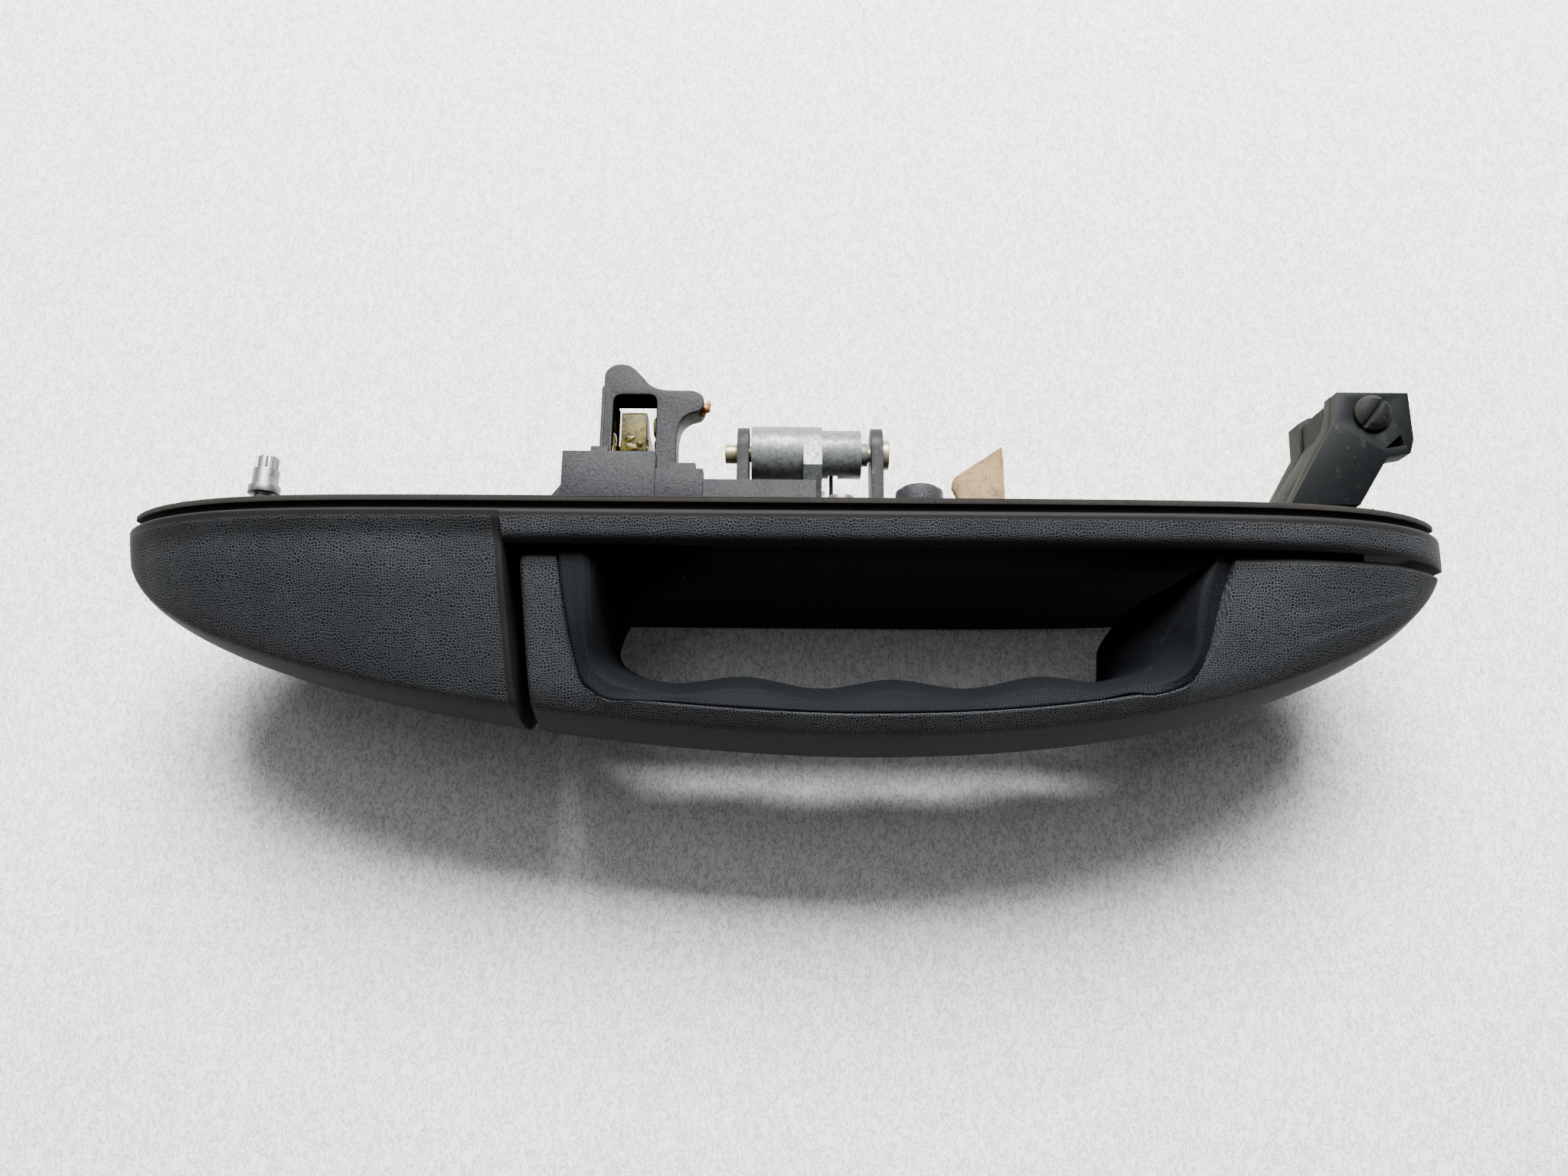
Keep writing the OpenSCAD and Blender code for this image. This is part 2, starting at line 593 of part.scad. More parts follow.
module mounting_stud() {
    color([0.7, 0.7, 0.7]) difference() {
        union() {
            rod_y(1.9, -12, 5.2, stud_x, stud_z);
            rod_y(2.8, 5.2, 6.6, stud_x, stud_z);
            rod_y(stud_r, 6.6, 9.8, stud_x, stud_z);
            rod_y(2, 9.8, 12.2, stud_x, stud_z);
        }
        // flutes of the star drive
        for (a = [0 : 60 : 300]) translate([stud_x + 2.25 * cos(a), 9.9, stud_z + 2.25 * sin(a)])
            rotate([-90, 0, 0]) cylinder(r = 0.6, h = 4, $fn = 24);
    }
}

module stud_insert() {
    color([0.7, 0.68, 0.55]) difference() {
        rod_y(3.4, -14, back_y + 0.6, stud_x, stud_z);
        rod_y(1.9, -15, 0, stud_x, stud_z);
    }
}

module fixing_boss() {
    color([0.1, 0.1, 0.11]) difference() {
        union() {
            rod_y(4.3, carrier_y, 5.3, boss_x, boss_z);
            rod_y(3.6, back_y, carrier_y, boss_x, boss_z);
            rod_y(3.3, 5.3, 6, boss_x, boss_z);
        }
        rod_y(boss_bore_r, -4, 7, boss_x, boss_z);
    }
}

module bumper(x, z) {
    rod_y(1.5, floor_y, back_y - 0.6, x, z);
    rod_y(2.2, -8.6, floor_y, x, z);
}

module free_end_bumper() {
    color([0.07, 0.07, 0.07]) bumper(bumper_places[0][0], bumper_places[0][1]);
}

module hinge_end_bumper() {
    color([0.07, 0.07, 0.07]) bumper(bumper_places[1][0], bumper_places[1][1]);
}

module label_tag() {
    color([0.8, 0.74, 0.62]) translate([0, 0, 12.7]) linear_extrude(0.4)
        polygon([[31.6, back_y], [28.7, 6.2], [37.6, 12], [38.6, 10.8], [38.4, back_y]]);
}

base_bezel();
door_gasket();
handle_shell();
handle_grip();
hook_leg();
hook_screws();
pivot_arm();
arm_screws();
pivot_bush();
pivot_bracket();
pivot_pin();
bracket_screws();
guide_carrier();
carrier_screws();
crank_bracket();
bracket_rivets();
crank_pin();
bell_crank();
counterweight();
return_spring();
rod_clip();
mounting_stud();
stud_insert();
fixing_boss();
free_end_bumper();
hinge_end_bumper();
label_tag();
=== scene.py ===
"""Exterior pull handle of a car door: shells, mechanism, materials, light and camera
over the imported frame. Shapes are worked out in millimetres and scaled when a mesh is made.
+X runs to the hinge end, +Y into the door, +Z up."""
import math
import random

import bmesh
import bpy
import numpy as np
from mathutils import Matrix, Vector


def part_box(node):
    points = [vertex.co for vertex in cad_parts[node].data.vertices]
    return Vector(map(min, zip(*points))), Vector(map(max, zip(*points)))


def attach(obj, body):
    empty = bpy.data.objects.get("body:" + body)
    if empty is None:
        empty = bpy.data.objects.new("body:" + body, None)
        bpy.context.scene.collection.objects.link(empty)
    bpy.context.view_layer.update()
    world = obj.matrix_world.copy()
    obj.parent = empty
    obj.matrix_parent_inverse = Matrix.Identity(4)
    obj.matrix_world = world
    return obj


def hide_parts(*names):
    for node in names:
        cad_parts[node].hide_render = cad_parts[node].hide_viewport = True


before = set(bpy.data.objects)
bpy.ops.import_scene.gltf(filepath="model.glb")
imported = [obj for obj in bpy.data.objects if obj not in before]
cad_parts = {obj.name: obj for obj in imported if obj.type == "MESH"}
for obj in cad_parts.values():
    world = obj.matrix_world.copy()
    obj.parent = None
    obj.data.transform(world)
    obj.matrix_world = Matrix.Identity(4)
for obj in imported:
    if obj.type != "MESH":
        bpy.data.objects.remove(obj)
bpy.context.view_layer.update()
MM = 0.001      # one millimetre in metres

# the camera, fitted to the photograph
CAMERA_ELEVATION, CAMERA_ROLL = 76.3, 0.45      # degrees
CAMERA_PLACE = (0, -0.0609, 0.2035)             # metres
CAMERA_LENS, CAMERA_SENSOR = 26.37, 36          # millimetres


# ---------------------------------------------------------------- camera and light
def look_camera():
    """The camera stands over the strap's front and looks steeply down on it."""
    elevation, roll = math.radians(CAMERA_ELEVATION), math.radians(CAMERA_ROLL)
    view = Vector((0, math.cos(elevation), -math.sin(elevation)))
    across = Vector((1, 0, 0))
    above = Vector((0, math.sin(elevation), math.cos(elevation)))
    right = across * math.cos(roll) + above * math.sin(roll)
    top = above * math.cos(roll) - across * math.sin(roll)
    data = bpy.data.cameras.new("camera")
    data.sensor_width = CAMERA_SENSOR
    data.lens = CAMERA_LENS
    data.clip_start, data.clip_end = 0.01, 20
    camera = bpy.data.objects.new("camera", data)
    bpy.context.collection.objects.link(camera)
    turn = Matrix((right, top, -view)).transposed().to_4x4()
    camera.matrix_world = Matrix.Translation(CAMERA_PLACE) @ turn
    bpy.context.scene.camera = camera


def soft_light(name, place, size, power, colour):
    """A rectangular lamp that shines on the part."""
    data = bpy.data.lights.new(name, "AREA")
    data.shape = "RECTANGLE"
    data.size, data.size_y = size
    data.energy = power
    data.color = colour
    lamp = bpy.data.objects.new(name, data)
    bpy.context.collection.objects.link(lamp)
    lamp.location = place
    lamp.rotation_mode = "QUATERNION"
    lamp.rotation_quaternion = (-Vector(place)).to_track_quat("-Z", "Y")


def studio():
    """A broad light from behind throws the soft shadow to the front; a weak one and a dim sky fill it."""
    world = bpy.data.worlds.new("studio")
    bpy.context.scene.world = world
    world.use_nodes = True
    sky = world.node_tree.nodes["Background"]
    sky.inputs["Color"].default_value = (0.93, 0.96, 1.0, 1)
    sky.inputs["Strength"].default_value = 0.13
    soft_light("light_behind", (0.04, 0.70, 0.72), (0.78, 0.46), 67, (1, 0.99, 0.97))
    soft_light("light_above", (-0.2, 0.45, 1.2), (0.9, 0.9), 4, (0.97, 0.985, 1))


# ---------------------------------------------------------------- shape helpers
def clamp01(t):
    """t held between 0 and 1."""
    return min(1.0, max(0.0, t))


def mix(a, b, t):
    """From a at t = 0 to b at t = 1."""
    return a + (b - a) * t


def ease(t):
    """From 0 to 1, slow at both ends."""
    t = clamp01(t)
    return t * t * (3 - 2 * t)


# sizes in millimetres
HALF_LEN, BASE_TOP, BASE_BOTTOM = 120.0, 20.3, 33.0     # half the length; how far the base goes up and down
STRAP_OUT, PEAK_X = 42.0, 12.0                          # how far the strap stands out, and where
BACK_Y, FLOOR_Y = -2.6, -5.2                            # back of the base's rim, front of its back wall
LIP_Y, LOW_LIP_Y, SEAT_Y = -8.2, -12.5, -8.8            # fronts of the two lips, back of the strap's ends
PANEL_END, STRAP_LEFT, STRAP_RIGHT = -47.5, -45.3, 116.9    # ends of the fixed panel and the strap
PARTING_LEAN = 0.085                                    # slope of the gap between panel and strap
TOP_Z, CREASE_Z, LOW_Z = 16.0, 9.6, -11.5               # strap: top, crease above the front, underside
WAVE_PITCH, WAVE_RISE = 25.6, 0.85                      # finger waves
HOOK_Z0, HOOK_Z1 = 2.3, 8.0                             # underside and top of the hook leg
HOOK_SCREWS, HOOK_HEAD_R = ((-35.5, -2), (-35.5, 9.2)), 2.4     # its screws' places and pockets


def top_edge(x):
    """Upper outline of the base."""
    return BASE_TOP * (1 - (abs(x) / HALF_LEN) ** 7.5) ** (1 / 1.4)


def low_edge(x):
    """Lower outline of the base."""
    return -BASE_BOTTOM * (1 - (abs(x) / HALF_LEN) ** 4) ** (1 / 1.3)


def front_y(x):
    """Front of panel and strap, as two quarters of a rounded bow."""
    if x < PEAK_X:
        run, inner, outer = HALF_LEN + 0.29 + PEAK_X, 1.65, 1 / 2.53
    else:
        run, inner, outer = HALF_LEN + 0.5 - PEAK_X, 2.18, 1 / 2.1
    return -STRAP_OUT * max(0.0, 1 - (abs(x - PEAK_X) / run) ** inner) ** outer


def rounded(corners, reach, steps=5):
    """Ring through the corners, each rounded off over reach (in mm) of its two edges.
    Corners are 2-D or 3-D points; extra columns, such as a grain share, go along."""
    pts = np.asarray(corners, float)
    n = len(pts)
    place = pts[:, :3] if pts.shape[1] > 3 else pts
    out = []
    for i in range(n):
        p, a, b = pts[i], pts[i - 1], pts[(i + 1) % n]
        la = max(1e-6, np.linalg.norm(place[i - 1] - place[i]))
        lb = max(1e-6, np.linalg.norm(place[(i + 1) % n] - place[i]))
        s = p + (a - p) * min(0.5, reach[i] / la)
        e = p + (b - p) * min(0.5, reach[i] / lb)
        for k in range(steps):
            t = k / (steps - 1)
            out.append((1 - t) ** 2 * s + 2 * t * (1 - t) * p + t * t * e)
    return np.array(out)


def mesh_of(name, points, faces, grain=None, weave=None):
    """An object with this mesh. At its vertices, grain is the share of grain (below 0: painted shade, deep
    in a pocket) and weave is the place in millimetres on the unrolled skin, which the grain is laid out on."""
    mesh = bpy.data.meshes.new(name)
    mesh.from_pydata([tuple(p * MM for p in q[:3]) for q in points], [], faces)
    if grain is not None:
        mesh.attributes.new("grain", "FLOAT", "POINT").data.foreach_set("value", np.asarray(grain, "f"))
    if weave is not None:
        mesh.attributes.new("weave", "FLOAT_VECTOR", "POINT").data.foreach_set(
            "vector", np.asarray(weave, "f").ravel())
    mesh.update()
    obj = bpy.data.objects.new(name, mesh)
    bpy.context.collection.objects.link(obj)
    return obj


def loft(name, rings, along=None):
    """A skin through rings of points (x, y, z, grain), with a fan over each end.
    The grain is laid out by x, or by along where that gives each ring's distance on a path."""
    rings = [np.asarray(r, float) for r in rings]
    n, m = len(rings[0]), len(rings)
    points = np.concatenate(rings)
    weave = []
    for j, ring in enumerate(rings):
        round_it = np.append(0, np.cumsum(np.linalg.norm(np.diff(ring[:, :3], axis=0), axis=1)))
        first = ring[:, 0] if along is None else np.full(n, along[j])
        weave.append(np.column_stack([first, round_it, np.zeros(n)]))
    weave = np.concatenate(weave)
    faces = []
    for j in range(m - 1):
        a, b = j * n, (j + 1) * n
        faces += [(a + i, b + i, b + (i + 1) % n, a + (i + 1) % n) for i in range(n)]
    ends = np.array([rings[0].mean(axis=0), rings[-1].mean(axis=0)])
    points = np.concatenate([points, ends])
    weave = np.concatenate([weave, ends[:, :3]])
    first, final = len(points) - 2, len(points) - 1
    faces += [(first, i, (i + 1) % n) for i in range(n)]
    faces += [(final, (m - 1) * n + (i + 1) % n, (m - 1) * n + i) for i in range(n)]
    grain = points[:, 3] if points.shape[1] > 3 else None
    obj = mesh_of(name, points, faces, grain, weave)
    outwards(obj.data)
    return obj


def outwards(mesh):
    """Turns all faces outwards."""
    work = bmesh.new()
    work.from_mesh(mesh)
    bmesh.ops.recalc_face_normals(work, faces=work.faces)
    work.to_mesh(mesh)
    work.free()


def smooth(obj, angle=32):
    """Smooth shading, with sharp edges above the angle in degrees."""
    for face in obj.data.polygons:
        face.use_smooth = True
    obj.data.set_sharp_from_angle(angle=math.radians(angle))


def settle(obj):
    """Turns the object's modifiers into its mesh."""
    graph = bpy.context.evaluated_depsgraph_get()
    done = bpy.data.meshes.new_from_object(obj.evaluated_get(graph))
    obj.modifiers.clear()
    obj.data = done


def cut(obj, *cutters):
    """Takes the cutters out of the object, and removes them."""
    for tool in cutters:
        step = obj.modifiers.new("cut", "BOOLEAN")
        step.operation = "DIFFERENCE"
        step.solver = "EXACT"
        step.object = tool
    settle(obj)
    for tool in cutters:
        bpy.data.objects.remove(tool)


def bevel(obj, width, segments=2, angle=30):
    """Rounds the edges that are sharper than the angle in degrees, over a width in millimetres."""
    step = obj.modifiers.new("edges", "BEVEL")
    step.width = width * MM
    step.segments = segments
    step.limit_method = "ANGLE"
    step.angle_limit = math.radians(angle)
    step.use_clamp_overlap = True
    step.harden_normals = False
    settle(obj)


def finish_piece(obj, body, slot, nodes=(), angle=32, look=None):
    """Shading, body, slot, replaced nodes and material of a piece; the look is the slot's own
    unless another one is named."""
    smooth(obj, angle)
    obj.data.materials.clear()
    obj.data.materials.append(looks[look or slot])
    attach(obj, body)
    if nodes:
        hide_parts(*nodes)
    return obj


def prism(name, outline, low, high, axis="Z"):
    """An outline in millimetres, given thickness along an axis.
    For Z the outline is (x, y), for Y it is (x, z) and for X it is (y, z)."""
    n = len(outline)
    place = {"Z": lambda p, h: (p[0], p[1], h), "Y": lambda p, h: (p[0], h, p[1]),
             "X": lambda p, h: (h, p[0], p[1])}[axis]
    points = [place(p, low) for p in outline] + [place(p, high) for p in outline]
    faces = [tuple(range(n))[::-1], tuple(range(n, 2 * n))]
    faces += [(i, (i + 1) % n, n + (i + 1) % n, n + i) for i in range(n)]
    obj = mesh_of(name, points, faces)
    outwards(obj.data)
    return obj


def round_rect(x0, x1, z0, z1, r, steps=6):
    """Rectangle with rounded corners."""
    return rounded([(x0, z0), (x1, z0), (x1, z1), (x0, z1)], [r] * 4, steps)


def circle(x, z, r, sides=32):
    """Points round a circle."""
    return [(x + r * math.cos(a), z + r * math.sin(a)) for a in np.linspace(0, 2 * math.pi, sides + 1)[:-1]]


def tube(name, path, radius, sides=12):
    """A round wire along a path of points, with domed ends."""
    path = [Vector(p) for p in path]
    rings = []
    side = None
    for i, p in enumerate(path):
        ahead = (path[min(i + 1, len(path) - 1)] - path[max(i - 1, 0)]).normalized()
        if side is None:
            side = ahead.orthogonal().normalized()
        side = (side - ahead * side.dot(ahead)).normalized()
        other = ahead.cross(side)
        scales = [1.0]
        if i == 0:
            scales = [0.55, 0.9, 1.0]
        elif i == len(path) - 1:
            scales = [1.0, 0.9, 0.55]
        for s in scales:
            back = math.sqrt(max(0.0, 1 - s * s)) * radius * (-1 if i == 0 else 1)
            centre = p + ahead * (back - (radius * (-1 if i == 0 else 1) if len(scales) > 1 else 0))
            rings.append([tuple(centre + (side * math.cos(a) + other * math.sin(a)) * radius * s)
                          for a in (2 * math.pi * k / sides for k in range(sides))])
    return loft(name, rings)


FLAT = 1.0      # degrees; faces closer than this to one plane are joined


def dressed(node, name, width):
    """A copy of a CAD node's mesh with its flat faces joined and its edges rounded."""
    obj = bpy.data.objects.new(name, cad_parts[node].data.copy())
    bpy.context.collection.objects.link(obj)
    obj.data.name = name
    work = bmesh.new()
    work.from_mesh(obj.data)
    bmesh.ops.remove_doubles(work, verts=work.verts, dist=2e-6)
    bmesh.ops.dissolve_limit(work, angle_limit=math.radians(FLAT), verts=work.verts, edges=work.edges,
                             delimit=set())
    work.to_mesh(obj.data)
    work.free()
    outwards(obj.data)
    bevel(obj, width)
    return obj


# ---------------------------------------------------------------- materials
GRAIN_PITCH = 0.49                  # mean size of the grain's cells in millimetres
GRAIN_UNEVEN = 0.78                 # how far the cells are from a regular pattern
PIT_START, PIT_FULL = 0.08, 0.25    # share of a cell from its edge to where its pit starts, and is full
# painted shade: the near-black colour put deep inside a pocket
SHADE_BLACK = (0.0012, 0.0012, 0.0013)    # deep inside a pocket


class Look:
    """A node material built step by step; every texture reads the object's own coordinates."""

    def __init__(self, name):
        self.material = bpy.data.materials.new(name)
        self.material.use_nodes = True
        self.tree = self.material.node_tree
        self.shader = self.tree.nodes["Principled BSDF"]
        self.place = self.tree.nodes.new("ShaderNodeTexCoord").outputs["Object"]

    def set(self, socket, value):
        """A socket takes a number, a colour or another node's output."""
        if isinstance(value, bpy.types.NodeSocket):
            self.tree.links.new(value, socket)
        elif isinstance(value, (tuple, list)) and len(value) == 3 and socket.type == "RGBA":
            socket.default_value = (*value, 1)
        else:
            socket.default_value = value

    def fill(self, node, values):
        """Sets a node's inputs by name; an underscore stands for a space."""
        for key, value in values.items():
            self.set(node.inputs[key.replace("_", " ")], value)

    def shade(self, **values):
        """Sets inputs of the surface shader, and gives the material."""
        self.fill(self.shader, values)
        return self.material

    def node(self, kind, **values):
        node = self.tree.nodes.new("ShaderNode" + kind)
        self.fill(node, values)
        return node

    def stretched(self, scale):
        """The object's coordinates, scaled on each axis."""
        return self.node("Mapping", Vector=self.place, Scale=scale).outputs["Vector"]

    def noise(self, scale, detail=3.0, rough=0.55, warp=0.0, place=None):
        """Noise from 0 to 1; scale is in waves per metre."""
        return self.node("TexNoise", Vector=place or self.place, Scale=scale, Detail=detail,
                         Roughness=rough, Distortion=warp).outputs["Fac"]

    def cells(self, scale):
        """Distance to the edges of flat cells, laid out on the unrolled skin in millimetres."""
        weave = self.share("weave", "Vector")
        drift = self.node("TexNoise", Vector=weave, Scale=0.30, Detail=1.0).outputs["Color"]
        moved = self.node("VectorMath")
        moved.operation = "MULTIPLY_ADD"
        for socket, value in zip(moved.inputs, (drift, (1.5, 1.5, 0), weave)):
            self.set(socket, value)
        node = self.node("TexVoronoi")
        node.voronoi_dimensions = "2D"
        node.feature = "DISTANCE_TO_EDGE"
        self.fill(node, {"Vector": moved.outputs["Vector"], "Scale": scale, "Randomness": GRAIN_UNEVEN})
        return node.outputs["Distance"]

    def range(self, value, low, high, to_low=0.0, to_high=1.0, kind="SMOOTHSTEP"):
        """The value's range from low to high, mapped to another one."""
        node = self.node("MapRange", Value=value, From_Min=low, From_Max=high, To_Min=to_low, To_Max=to_high)
        node.interpolation_type = kind
        return node.outputs["Result"]

    def maths(self, operation, a, b=0.0):
        node = self.node("Math")
        node.operation = operation
        self.set(node.inputs[0], a)
        self.set(node.inputs[1], b)
        return node.outputs[0]

    def blend(self, share, a, b):
        """Colour a, with its share of colour b."""
        node = self.node("Mix")
        node.data_type = "RGBA"
        # a mix node's sockets 6 and 7 are its colours, and output 2 is the mixed colour
        for socket, value in ((0, share), (6, a), (7, b)):
            self.set(node.inputs[socket], value)
        return node.outputs[2]

    def over(self, colour, share, strength, tint):
        """The colour under a coat of tint, where share says, and as thick as strength."""
        return self.blend(self.maths("MULTIPLY", share, strength), colour, tint)

    def axis(self, which):
        """The object's own coordinate on one axis, in metres."""
        return self.node("SeparateXYZ", Vector=self.place).outputs[which]

    def facing(self, which):
        """How far the surface faces along an axis of the object."""
        normal = self.node("TexCoord").outputs["Normal"]
        return self.node("SeparateXYZ", Vector=normal).outputs[which]

    def share(self, name, output="Fac"):
        """A value kept at the mesh's vertices."""
        node = self.node("Attribute")
        node.attribute_name = name
        return node.outputs[output]

    def bump(self, height, strength, distance, below=None):
        """A normal bent by a height; distance is in metres."""
        node = self.node("Bump", Strength=strength, Distance=distance, Height=height)
        if below is not None:
            self.set(node.inputs["Normal"], below)
        return node.outputs["Normal"]


def grained_look():
    """Bezel and shell: grain of round dark pits in a lighter net, worn smooth in places, and painted shade,
    near black, deep in the pockets.
    """
    look = Look("grained_plastic")
    signed = look.share("grain")
    grain = look.range(signed, 0, 1)
    # below 0 the share paints shade: the colour goes to near black deep in a pocket
    deep = look.range(signed, -0.7, -0.1, 1, 0)
    pit = look.range(look.cells(1 / GRAIN_PITCH), PIT_START, PIT_FULL)
    worn = look.range(look.noise(38, 4, 0.6), 0.40, 0.70)
    depth = look.maths("MULTIPLY", grain, look.range(worn, 0, 1, 1.0, 0.65))
    net = look.blend(worn, (0.0265, 0.0288, 0.0318), (0.0385, 0.0415, 0.0450))
    pits = look.blend(look.noise(260, 3), (0.0012, 0.0014, 0.0018), (0.0055, 0.0062, 0.0070))
    grained = look.blend(pit, net, pits)
    mottle = look.noise(120, 5, 0.65)
    bare = look.blend(mottle, (0.0060, 0.0061, 0.0062), (0.0130, 0.0131, 0.0132))
    dust = look.range(look.noise(2600, 2, 0.7), 0.66, 0.75)
    bare = look.over(bare, dust, 0.25, (0.07, 0.07, 0.068))
    colour = look.blend(deep, look.blend(grain, bare, grained), SHADE_BLACK)
    look.shade(Base_Color=colour, Roughness=look.range(look.maths("MULTIPLY", pit, grain), 0, 1, 0.60, 0.72),
               Specular_IOR_Level=0.09)
    height = look.maths("MULTIPLY", look.maths("SUBTRACT", 1.0, pit), depth)
    fine = look.bump(look.noise(900, 2), 0.12, 0.00006)
    return look.shade(Normal=look.bump(height, 0.6, 0.00012, fine))


def grip_look():
    """The strap's smooth liner, polished by hands, with faint scuffs, a last trace of the grain, and painted
    shade, near black, where the share goes below 0.
    """
    look = Look("smooth_plastic")
    cloud = look.noise(45, 5, 0.6)
    trace = look.range(look.share("grain"), 0, 1)
    pit = look.maths("MULTIPLY", look.range(look.cells(1 / GRAIN_PITCH), PIT_START, PIT_FULL), trace)
    scuffs = look.range(look.noise(60, 6, 0.75, 0.6, look.stretched((0.35, 1, 1))), 0.58, 0.74)
    colour = look.blend(cloud, (0.0022, 0.0026, 0.0034), (0.0058, 0.0067, 0.0080))
    colour = look.over(colour, scuffs, 0.40, (0.026, 0.029, 0.033))
    speck = look.range(look.noise(3000, 2, 0.6), 0.68, 0.76)
    colour = look.over(colour, speck, 0.3, (0.06, 0.065, 0.07))
    ridge = look.maths("MULTIPLY", look.maths("SUBTRACT", trace, pit), 0.7)
    colour = look.blend(ridge, colour, (0.015, 0.0165, 0.019))
    colour = look.over(colour, pit, 0.8, (0.0016, 0.0019, 0.0023))
    # painted shade: below 0 the share darkens the colour to near black
    colour = look.blend(look.range(look.share("grain"), -1, 0, 0.8, 0), colour, SHADE_BLACK)
    return look.shade(Base_Color=colour, Roughness=look.range(cloud, 0.3, 0.7, 0.58, 0.70),
                      Specular_IOR_Level=0.03, Normal=look.bump(look.noise(1500, 3, 0.6), 0.25, 0.00005))


def speckled_look(name, cloud, low, high, coats, roughness, height, strength, distance, **more):
    """Clouds of two colours under coats of tint, each (noise, start, full, thick, tint), on a bumpy skin.
    A pair of roughnesses is for the cloud's two colours; cloud, noise and height say what noise() takes."""
    look = Look(name)
    clouds = look.noise(*cloud)
    colour = look.blend(clouds, low, high)
    for noise, start, full, thick, tint in coats:
        colour = look.over(colour, look.range(look.noise(*noise), start, full), thick, tint)
    if isinstance(roughness, tuple):
        roughness = look.range(clouds, 0.3, 0.7, *roughness)
    return look.shade(Base_Color=colour, Roughness=roughness,
                      Normal=look.bump(look.noise(*height), strength, distance), **more)


def hinge_look():
    """Hinge bracket and arm: deep black on the outside, a lighter grey-brown on what faces sideways and in
    random patches.
    """
    look = Look("hinge_plastic")
    cloud = look.noise(90, 5, 0.65)
    black = look.blend(cloud, (0.0014, 0.0022, 0.0026), (0.0050, 0.0066, 0.0074))
    grey_brown = look.blend(look.noise(420, 4, 0.7), (0.014, 0.014, 0.012), (0.040, 0.038, 0.031))
    # lighter grey-brown on faces that face sideways, black on faces that face up or down
    side = look.range(look.maths("ABSOLUTE", look.facing("Z")), 0.55, 0.92, 0.85, 0.0)
    patch = look.range(look.noise(330, 5, 0.75), 0.58, 0.70, 0.0, 0.45)
    colour = look.blend(look.maths("MAXIMUM", side, patch), black, grey_brown)
    crumbs = look.range(look.noise(1300, 3, 0.7), 0.67, 0.74)
    colour = look.over(colour, crumbs, 0.5, (0.11, 0.105, 0.09))
    return look.shade(Base_Color=colour, Roughness=look.range(side, 0, 0.85, 0.50, 0.72),
                      Specular_IOR_Level=0.08, Normal=look.bump(look.noise(600, 4, 0.65), 0.3, 0.00010))


def zinc_look():
    """Die-cast zinc: grey-green, blotched, with bright rubbed spots."""
    look = Look("cast_zinc")
    blotch = look.noise(1000, 6, 0.75)
    colour = look.blend(look.range(blotch, 0.35, 0.65), (0.075, 0.085, 0.082), (0.170, 0.185, 0.176))
    bright = look.range(look.noise(2300, 4, 0.75, 0.5), 0.58, 0.66)
    colour = look.over(colour, bright, 0.5, (0.34, 0.36, 0.35))
    dark = look.range(look.noise(1400, 3, 0.7), 0.62, 0.70)
    colour = look.over(colour, dark, 0.6, (0.015, 0.015, 0.013))
    # yellow grease covers the finger, at the crank's far end
    smeared = look.noise(520, 5, 0.7, 0.6)
    grease = look.blend(look.range(smeared, 0.34, 0.66), (0.008, 0.006, 0.001), (0.080, 0.064, 0.010))
    reach = look.maths("ADD", look.axis("X"), look.range(smeared, 0, 1, -0.0035, 0.0035, "LINEAR"))
    far = look.range(reach, -0.0245, -0.0225, 1, 0)
    return look.shade(Base_Color=look.blend(far, colour, grease), Metallic=0.45,
                      Roughness=look.range(blotch, 0.3, 0.7, 0.52, 0.38),
                      Normal=look.bump(look.noise(800, 5, 0.7), 0.35, 0.00012))


def grease_look():
    """Old grease: amber to brown, wet."""
    look = Look("old_grease")
    cloud = look.noise(900, 5, 0.75, 0.5)
    thin = look.blend(look.range(cloud, 0.35, 0.65), (0.012, 0.009, 0.001), (0.085, 0.066, 0.010))
    pale = look.range(look.noise(500, 4, 0.7), 0.52, 0.68)
    colour = look.over(thin, pale, 0.6, (0.22, 0.17, 0.045))
    return look.shade(Base_Color=colour, Roughness=0.26, Specular_IOR_Level=0.35,
                      Normal=look.bump(look.noise(1500, 4, 0.7), 0.6, 0.0002))


def paper_look():
    """Aged paper: cream, mottled grey where it is rubbed and brown where it is stained."""
    look = Look("label_paper")
    cloud = look.noise(350, 5, 0.7)
    colour = look.blend(cloud, (0.150, 0.098, 0.048), (0.300, 0.222, 0.128))
    rubbed = look.range(look.noise(700, 5, 0.8), 0.50, 0.60, 0.0, 0.7)
    colour = look.blend(rubbed, colour, (0.085, 0.064, 0.040))
    stain = look.range(look.maths("ADD", look.axis("Y"), look.maths("MULTIPLY", look.axis("X"), -0.45)),
                       -0.0125, -0.0045)
    stain = look.maths("MULTIPLY", stain, look.range(look.noise(240, 4), 0.3, 0.7, 0.35, 1.0))
    colour = look.over(colour, stain, 0.8, (0.090, 0.046, 0.014))
    return look.shade(Base_Color=colour, Roughness=0.85, Specular_IOR_Level=0.12,
                      Normal=look.bump(look.noise(1200, 4, 0.7), 0.4, 0.0001))


def floor_look():
    """Pale board with a fine leathery grain."""
    look = Look("pale_floor")
    lines = look.noise(1, 3, 0.6, 0.9, look.stretched((1150, 560, 560)))
    squiggle = look.range(look.maths("ABSOLUTE", look.maths("SUBTRACT", lines, 0.47)), 0.0, 0.06)
    cloud = look.noise(14, 4, 0.6)
    colour = look.blend(cloud, (0.80, 0.80, 0.79), (0.88, 0.88, 0.865))
    colour = look.blend(look.range(squiggle, 0, 1, 0.60, 0.0), colour, (0.30, 0.30, 0.29))
    return look.shade(Base_Color=colour, Roughness=0.75, Specular_IOR_Level=0.2,
                      Normal=look.bump(squiggle, 0.4, 0.00025))


